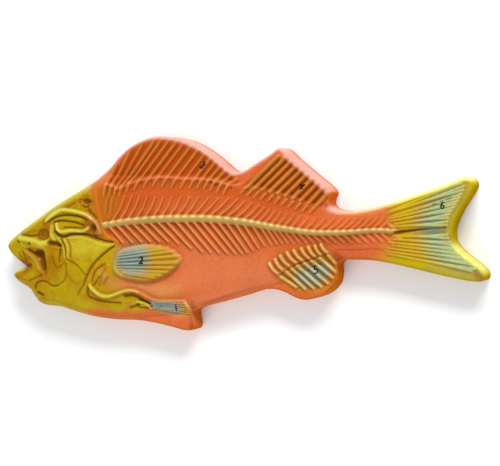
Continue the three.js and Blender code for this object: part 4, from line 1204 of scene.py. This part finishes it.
# %% Colours
PAINT = {
    # the body, its walls and its rims; rim_pink is a painted highlight and amber a painted shade
    "salmon": linear(188, 88, 34), "coral": linear(198, 98, 60), "ochre": linear(168, 98, 14),
    "blush": linear(212, 132, 92), "rim_pink": linear(208, 162, 150),
    "amber": linear(216, 104, 2), "plastic": linear(190, 182, 164),
    # the head and the tail; pale_yellow and lemon are painted highlights
    "yellow": linear(168, 154, 0), "mustard": linear(166, 120, 0), "gold": linear(174, 152, 0),
    "pale_yellow": linear(216, 216, 60), "lemon": linear(228, 222, 118),
    # bones and fins; the cream is for painted highlights
    "khaki": linear(168, 136, 76), "tan": linear(177, 130, 54), "rib": linear(200, 134, 68),
    "gold_ray": linear(188, 162, 36), "membrane": linear(168, 68, 4),
    "cream_highlight": linear(230, 222, 130), "orange": linear(204, 112, 4),
    "grey_blue": linear(142, 163, 156), "sea_green": linear(142, 168, 126),
    "grey_dark": linear(96, 112, 90),
    # washes and painted shade
    "brown": linear(80, 30, 0), "shade_red_brown": linear(130, 44, 0), "brown_tint_and_shade": linear(146, 84, 0),
    "olive": linear(104, 78, 0), "slate": linear(70, 88, 92),
}
moulding = bpy.data.materials.new("hand_painted_plastic")
moulding.use_nodes = True
tree = moulding.node_tree
shader = tree.nodes["Principled BSDF"]
print(len(PAINT), "colours")

# %% [markdown]
# ## Layers of paint
# The material lays its colours one over another in the order in which the painter would: broad
# colours, the sunk fields, bones and rays, painted highlights, and last the washes, which run into
# the hollows, with painted shade in the hollows and on the lower rims and a painted highlight on
# the upper rims. A layer is a mix node whose factor is a mask with a ragged border.

# %% Layer helpers
def mask_value(name):
    node = tree.nodes.new("ShaderNodeAttribute")
    node.attribute_name = name
    return node.outputs["Fac"]


def cover_of(mask, raggedness=0.3, strength=1.0):
    """A mask, by its name or as a socket, with a ragged border."""
    node = tree.nodes.new("ShaderNodeGroup")
    node.node_tree = ragged
    source = mask_value(mask) if isinstance(mask, str) else mask
    tree.links.new(source, node.inputs["Mask"])
    node.inputs["Raggedness"].default_value = raggedness
    node.inputs["Strength"].default_value = strength
    return node.outputs["Cover"]


def mix(below, above, amount, blend="MIX"):
    """Lays one colour over another; each is a colour's name or a socket."""
    node = tree.nodes.new("ShaderNodeMix")
    node.data_type, node.blend_type = "RGBA", blend
    for value, target in ((below, node.inputs[6]), (above, node.inputs[7]),
                          (amount, node.inputs[0])):
        if isinstance(value, bpy.types.NodeSocket):
            tree.links.new(value, target)
        else:
            target.default_value = PAINT.get(value, value)
    return node.outputs[2]


def spots(scale, detail, threshold, contrast):
    """Spots of noise from 0 to 1: what lies above the threshold, made steeper."""
    above = math_node(tree, "SUBTRACT", noise(tree, scale, detail), threshold)
    return math_node(tree, "MULTIPLY", above, contrast, clamp=True)


def either(first, second):
    """The sum of two masks, at most 1."""
    return math_node(tree, "ADD", mask_value(first), mask_value(second), clamp=True)


print("helpers for", moulding.name)

# %% Broad colours
colour = mix("salmon", "coral", spots(900, 2.0, 0.3, 2.5))
head_yellow = mix("yellow", "mustard", spots(110, 5.0, 0.3, 2.4))
colour = mix(colour, head_yellow, cover_of("head", 0.25))
# the last two layers are a brown tint that is partly painted shade, and painted shade in red brown
for paint_name, mask, raggedness, strength in (
        ("gold", "tail", 0.25, 1.0), ("membrane", "web", 0.35, 0.92), ("ochre", "ochre", 0.5, 0.8),
        ("brown_tint_and_shade", "brown_tint_and_shade", 0.7, 0.8), ("shade_red_brown", "shade", 0.4, 0.75)):
    colour = mix(colour, paint_name, cover_of(mask, raggedness, strength))
print("broad colours laid,", len(tree.nodes), "nodes so far")

# %% Rays, bones and highlights
yellow_part = either("tail", "head")
colour = mix(colour, mix("tan", "gold_ray", yellow_part), cover_of("ray", 0.5, 0.85))
in_tail = math_node(tree, "SUBTRACT", mask_value("tail"), 0.6)
in_tail = math_node(tree, "MULTIPLY", in_tail, 2.5, clamp=True)  # only the tail is all yellow
pale_blue = mix("grey_blue", "sea_green", in_tail)
fin_blue = mix("grey_dark", pale_blue, cover_of("ray", 0.3))
colour = mix(colour, fin_blue, cover_of("blue", 0.55, 0.95))
for paint_name, mask, raggedness, strength in (
        ("rib", "bone", 0.6, 0.9), ("khaki", "spine", 0.8, 0.92), ("orange", "orange", 0.3, 0.8),
        ("blush", "pink", 0.5, 0.8)):
    colour = mix(colour, paint_name, cover_of(mask, raggedness, strength))
# painted highlights in cream, paler yellow on the head
on_head = math_node(tree, "MULTIPLY", mask_value("head"), 0.85)
colour = mix(colour, mix("cream_highlight", "pale_yellow", on_head), cover_of("cream_highlight", 0.6, 0.65))
print("bones and rays laid,", len(tree.nodes), "nodes so far")

# %% Washes, painted shade and painted rim highlights
dots = spots(500, 3.0, 0.46, 5.0)
colour = mix(colour, "brown", math_node(tree, "MULTIPLY", dots, mask_value("stipple")))
colour = mix(colour, "brown", cover_of("wash_and_shade", 0.3, 0.9))
# the hollows get the wash and painted shade: red brown on the body, olive on the yellow parts,
# slate on the blue
in_shade = mix(mix("shade_red_brown", "olive", yellow_part), "slate", mask_value("blue"))
in_hollows = math_node(tree, "MULTIPLY", mask_value("hollow"), 0.9)
colour = mix(colour, in_shade, cover_of(in_hollows, 0.3, 0.7))
# painted highlight on the rims that face up: pink on the body, pale yellow on the head, lemon on
# the tail
pale = mix(mix("rim_pink", "pale_yellow", mask_value("head")), "lemon", mask_value("tail"))
colour = mix(colour, pale, cover_of("painted_rim_highlight", 0.3, 0.86))
# painted shade on the rims that face down, amber on the body and mustard on the yellow parts
colour = mix(colour, mix("amber", "mustard", yellow_part), cover_of("painted_lower_shade", 0.3, 0.75))
colour = mix(colour, "plastic", mask_value("foot"))

variation = tree.nodes.new("ShaderNodeGroup")
variation.node_tree = uneven
variation.inputs["Amount"].default_value = 0.3
brightness = tree.nodes.new("ShaderNodeCombineColor")
for part in brightness.inputs:
    tree.links.new(variation.outputs["Brightness"], part)
colour = mix(colour, brightness.outputs["Color"], 1.0, "MULTIPLY")
tree.links.new(colour, shader.inputs["Base Color"])
print("all colour laid,", len(tree.nodes), "nodes so far")

# %% [markdown]
# The paint has a satin gloss, duller in the washed grooves. It shines a little more on the cream
# highlights, and hardly at all on the walls, which would else mirror the bright room at a low
# angle and lose their colour. A very fine bump gives the surface its brushed tooth.

# %% Gloss and tooth
gloss = math_node(tree, "MULTIPLY", variation.outputs["Grain"], 0.16)
gloss = math_node(tree, "ADD", gloss, 0.3)
gloss = math_node(tree, "ADD", gloss, math_node(tree, "MULTIPLY", mask_value("wash_and_shade"), 0.12))
tree.links.new(gloss, shader.inputs["Roughness"])
SHINE = 0.07
CREAM_SHINE = 0.2  # so much more on the cream highlights
off_wall = math_node(tree, "SUBTRACT", 1.0, mask_value("wall"), clamp=True)
sheen = math_node(tree, "MULTIPLY", mask_value("cream_highlight"), CREAM_SHINE)
sheen = math_node(tree, "ADD", sheen, SHINE)
sheen = math_node(tree, "MULTIPLY", sheen, off_wall)
shader.inputs["Specular IOR Level"].default_value = SHINE
tree.links.new(sheen, shader.inputs["Specular IOR Level"])
bump = tree.nodes.new("ShaderNodeBump")
bump.inputs["Strength"].default_value = 0.25
bump.inputs["Distance"].default_value = 0.0003
tree.links.new(noise(tree, 900, 3.0), bump.inputs["Height"])
tree.links.new(bump.outputs["Normal"], shader.inputs["Normal"])
skin_mesh.materials.append(moulding)
print("material with", len(tree.nodes), "nodes")

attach(skin, "root")
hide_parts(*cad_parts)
print("the skin stands for", len(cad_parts), "pieces of the frame")

# %% [markdown]
# ## Key numbers
# Small black numbers are painted on the fins, each beside the part it explains. They are set as
# text in Blender's own plain face, turned into a mesh, laid on the relief and lifted by the
# paint's thickness, so that they follow the rays under them.

# %% Numbers
NUMBERS = [  # digit, place, turn in degrees, height, thickening of the strokes
    ("1", (-54.6, -70.6), 0, 6.0, 0.16), ("2", (-86.9, -25.4), -6, 7.0, 0.3),
    ("3", (-28.6, 65.0), -44, 7.2, 0.3), ("4", (69.6, 45.4), -48, 7.0, 0.26),
    ("5", (83.4, -31.4), 12, 7.8, 0.0), ("6", (201, 28.4), 0, 6.4, 0.14),
]
INK = 0.25  # how far the paint stands up
TYPE_SIZE = 1.4  # a digit is a little lower than its type size
LONGEST = 0.7  # longer edges are cut, so that a digit can bend over the rays
ink = bpy.data.materials.new("black_ink")
ink.use_nodes = True
tree = ink.node_tree
shader = tree.nodes["Principled BSDF"]
worn = tree.nodes.new("ShaderNodeGroup")
worn.node_tree = uneven
worn.inputs["Amount"].default_value = 0.8
tone = tree.nodes.new("ShaderNodeCombineColor")
for part, base in zip(tone.inputs, (0.016, 0.01, 0.01)):
    tree.links.new(math_node(tree, "MULTIPLY", worn.outputs["Brightness"], base), part)
tree.links.new(tone.outputs["Color"], shader.inputs["Base Color"])
tree.links.new(math_node(tree, "ADD", math_node(tree, "MULTIPLY", worn.outputs["Grain"], 0.2), 0.4),
               shader.inputs["Roughness"])
shader.inputs["Specular IOR Level"].default_value = 0.1


def surface(px, py):
    """The face's height at a place away from the rim."""
    place = np.array([px]), np.array([py])
    return float(sample(face, *place)[0] + sample(relief, *place)[0])


for digit, (cx, cy), turn, tall, thicker in NUMBERS:
    text = bpy.data.curves.new("text", "FONT")
    text.body, text.size = digit, tall * TYPE_SIZE
    text.extrude, text.offset = INK, thicker
    text.align_x, text.align_y = "CENTER", "CENTER"
    typed = bpy.data.objects.new("text", text)
    bpy.context.scene.collection.objects.link(typed)
    solid = bpy.data.meshes.new_from_object(typed.evaluated_get(
        bpy.context.evaluated_depsgraph_get()))
    bpy.data.objects.remove(typed)
    bm = bmesh.new()
    bm.from_mesh(solid)
    bmesh.ops.remove_doubles(bm, verts=bm.verts, dist=0.001)
    bmesh.ops.triangulate(bm, faces=bm.faces)
    for _ in range(3):
        long = [edge for edge in bm.edges if edge.calc_length() > LONGEST]
        bmesh.ops.subdivide_edges(bm, edges=long, cuts=1, use_grid_fill=True)
    bmesh.ops.rotate(bm, verts=bm.verts, matrix=Matrix.Rotation(math.radians(turn), 3, "Z"))
    bmesh.ops.translate(bm, verts=bm.verts, vec=(cx, cy, 0))
    for vert in bm.verts:
        vert.co.z += surface(vert.co.x, vert.co.y)
    bmesh.ops.scale(bm, vec=(MM, MM, MM), verts=bm.verts)
    bmesh.ops.recalc_face_normals(bm, faces=bm.faces)
    bm.to_mesh(solid)
    bm.free()
    solid.materials.clear()
    solid.materials.append(ink)
    number = bpy.data.objects.new(f"key_number_{digit}", solid)
    bpy.context.scene.collection.objects.link(number)
    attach(number, "root")
print(len(NUMBERS), "key numbers")
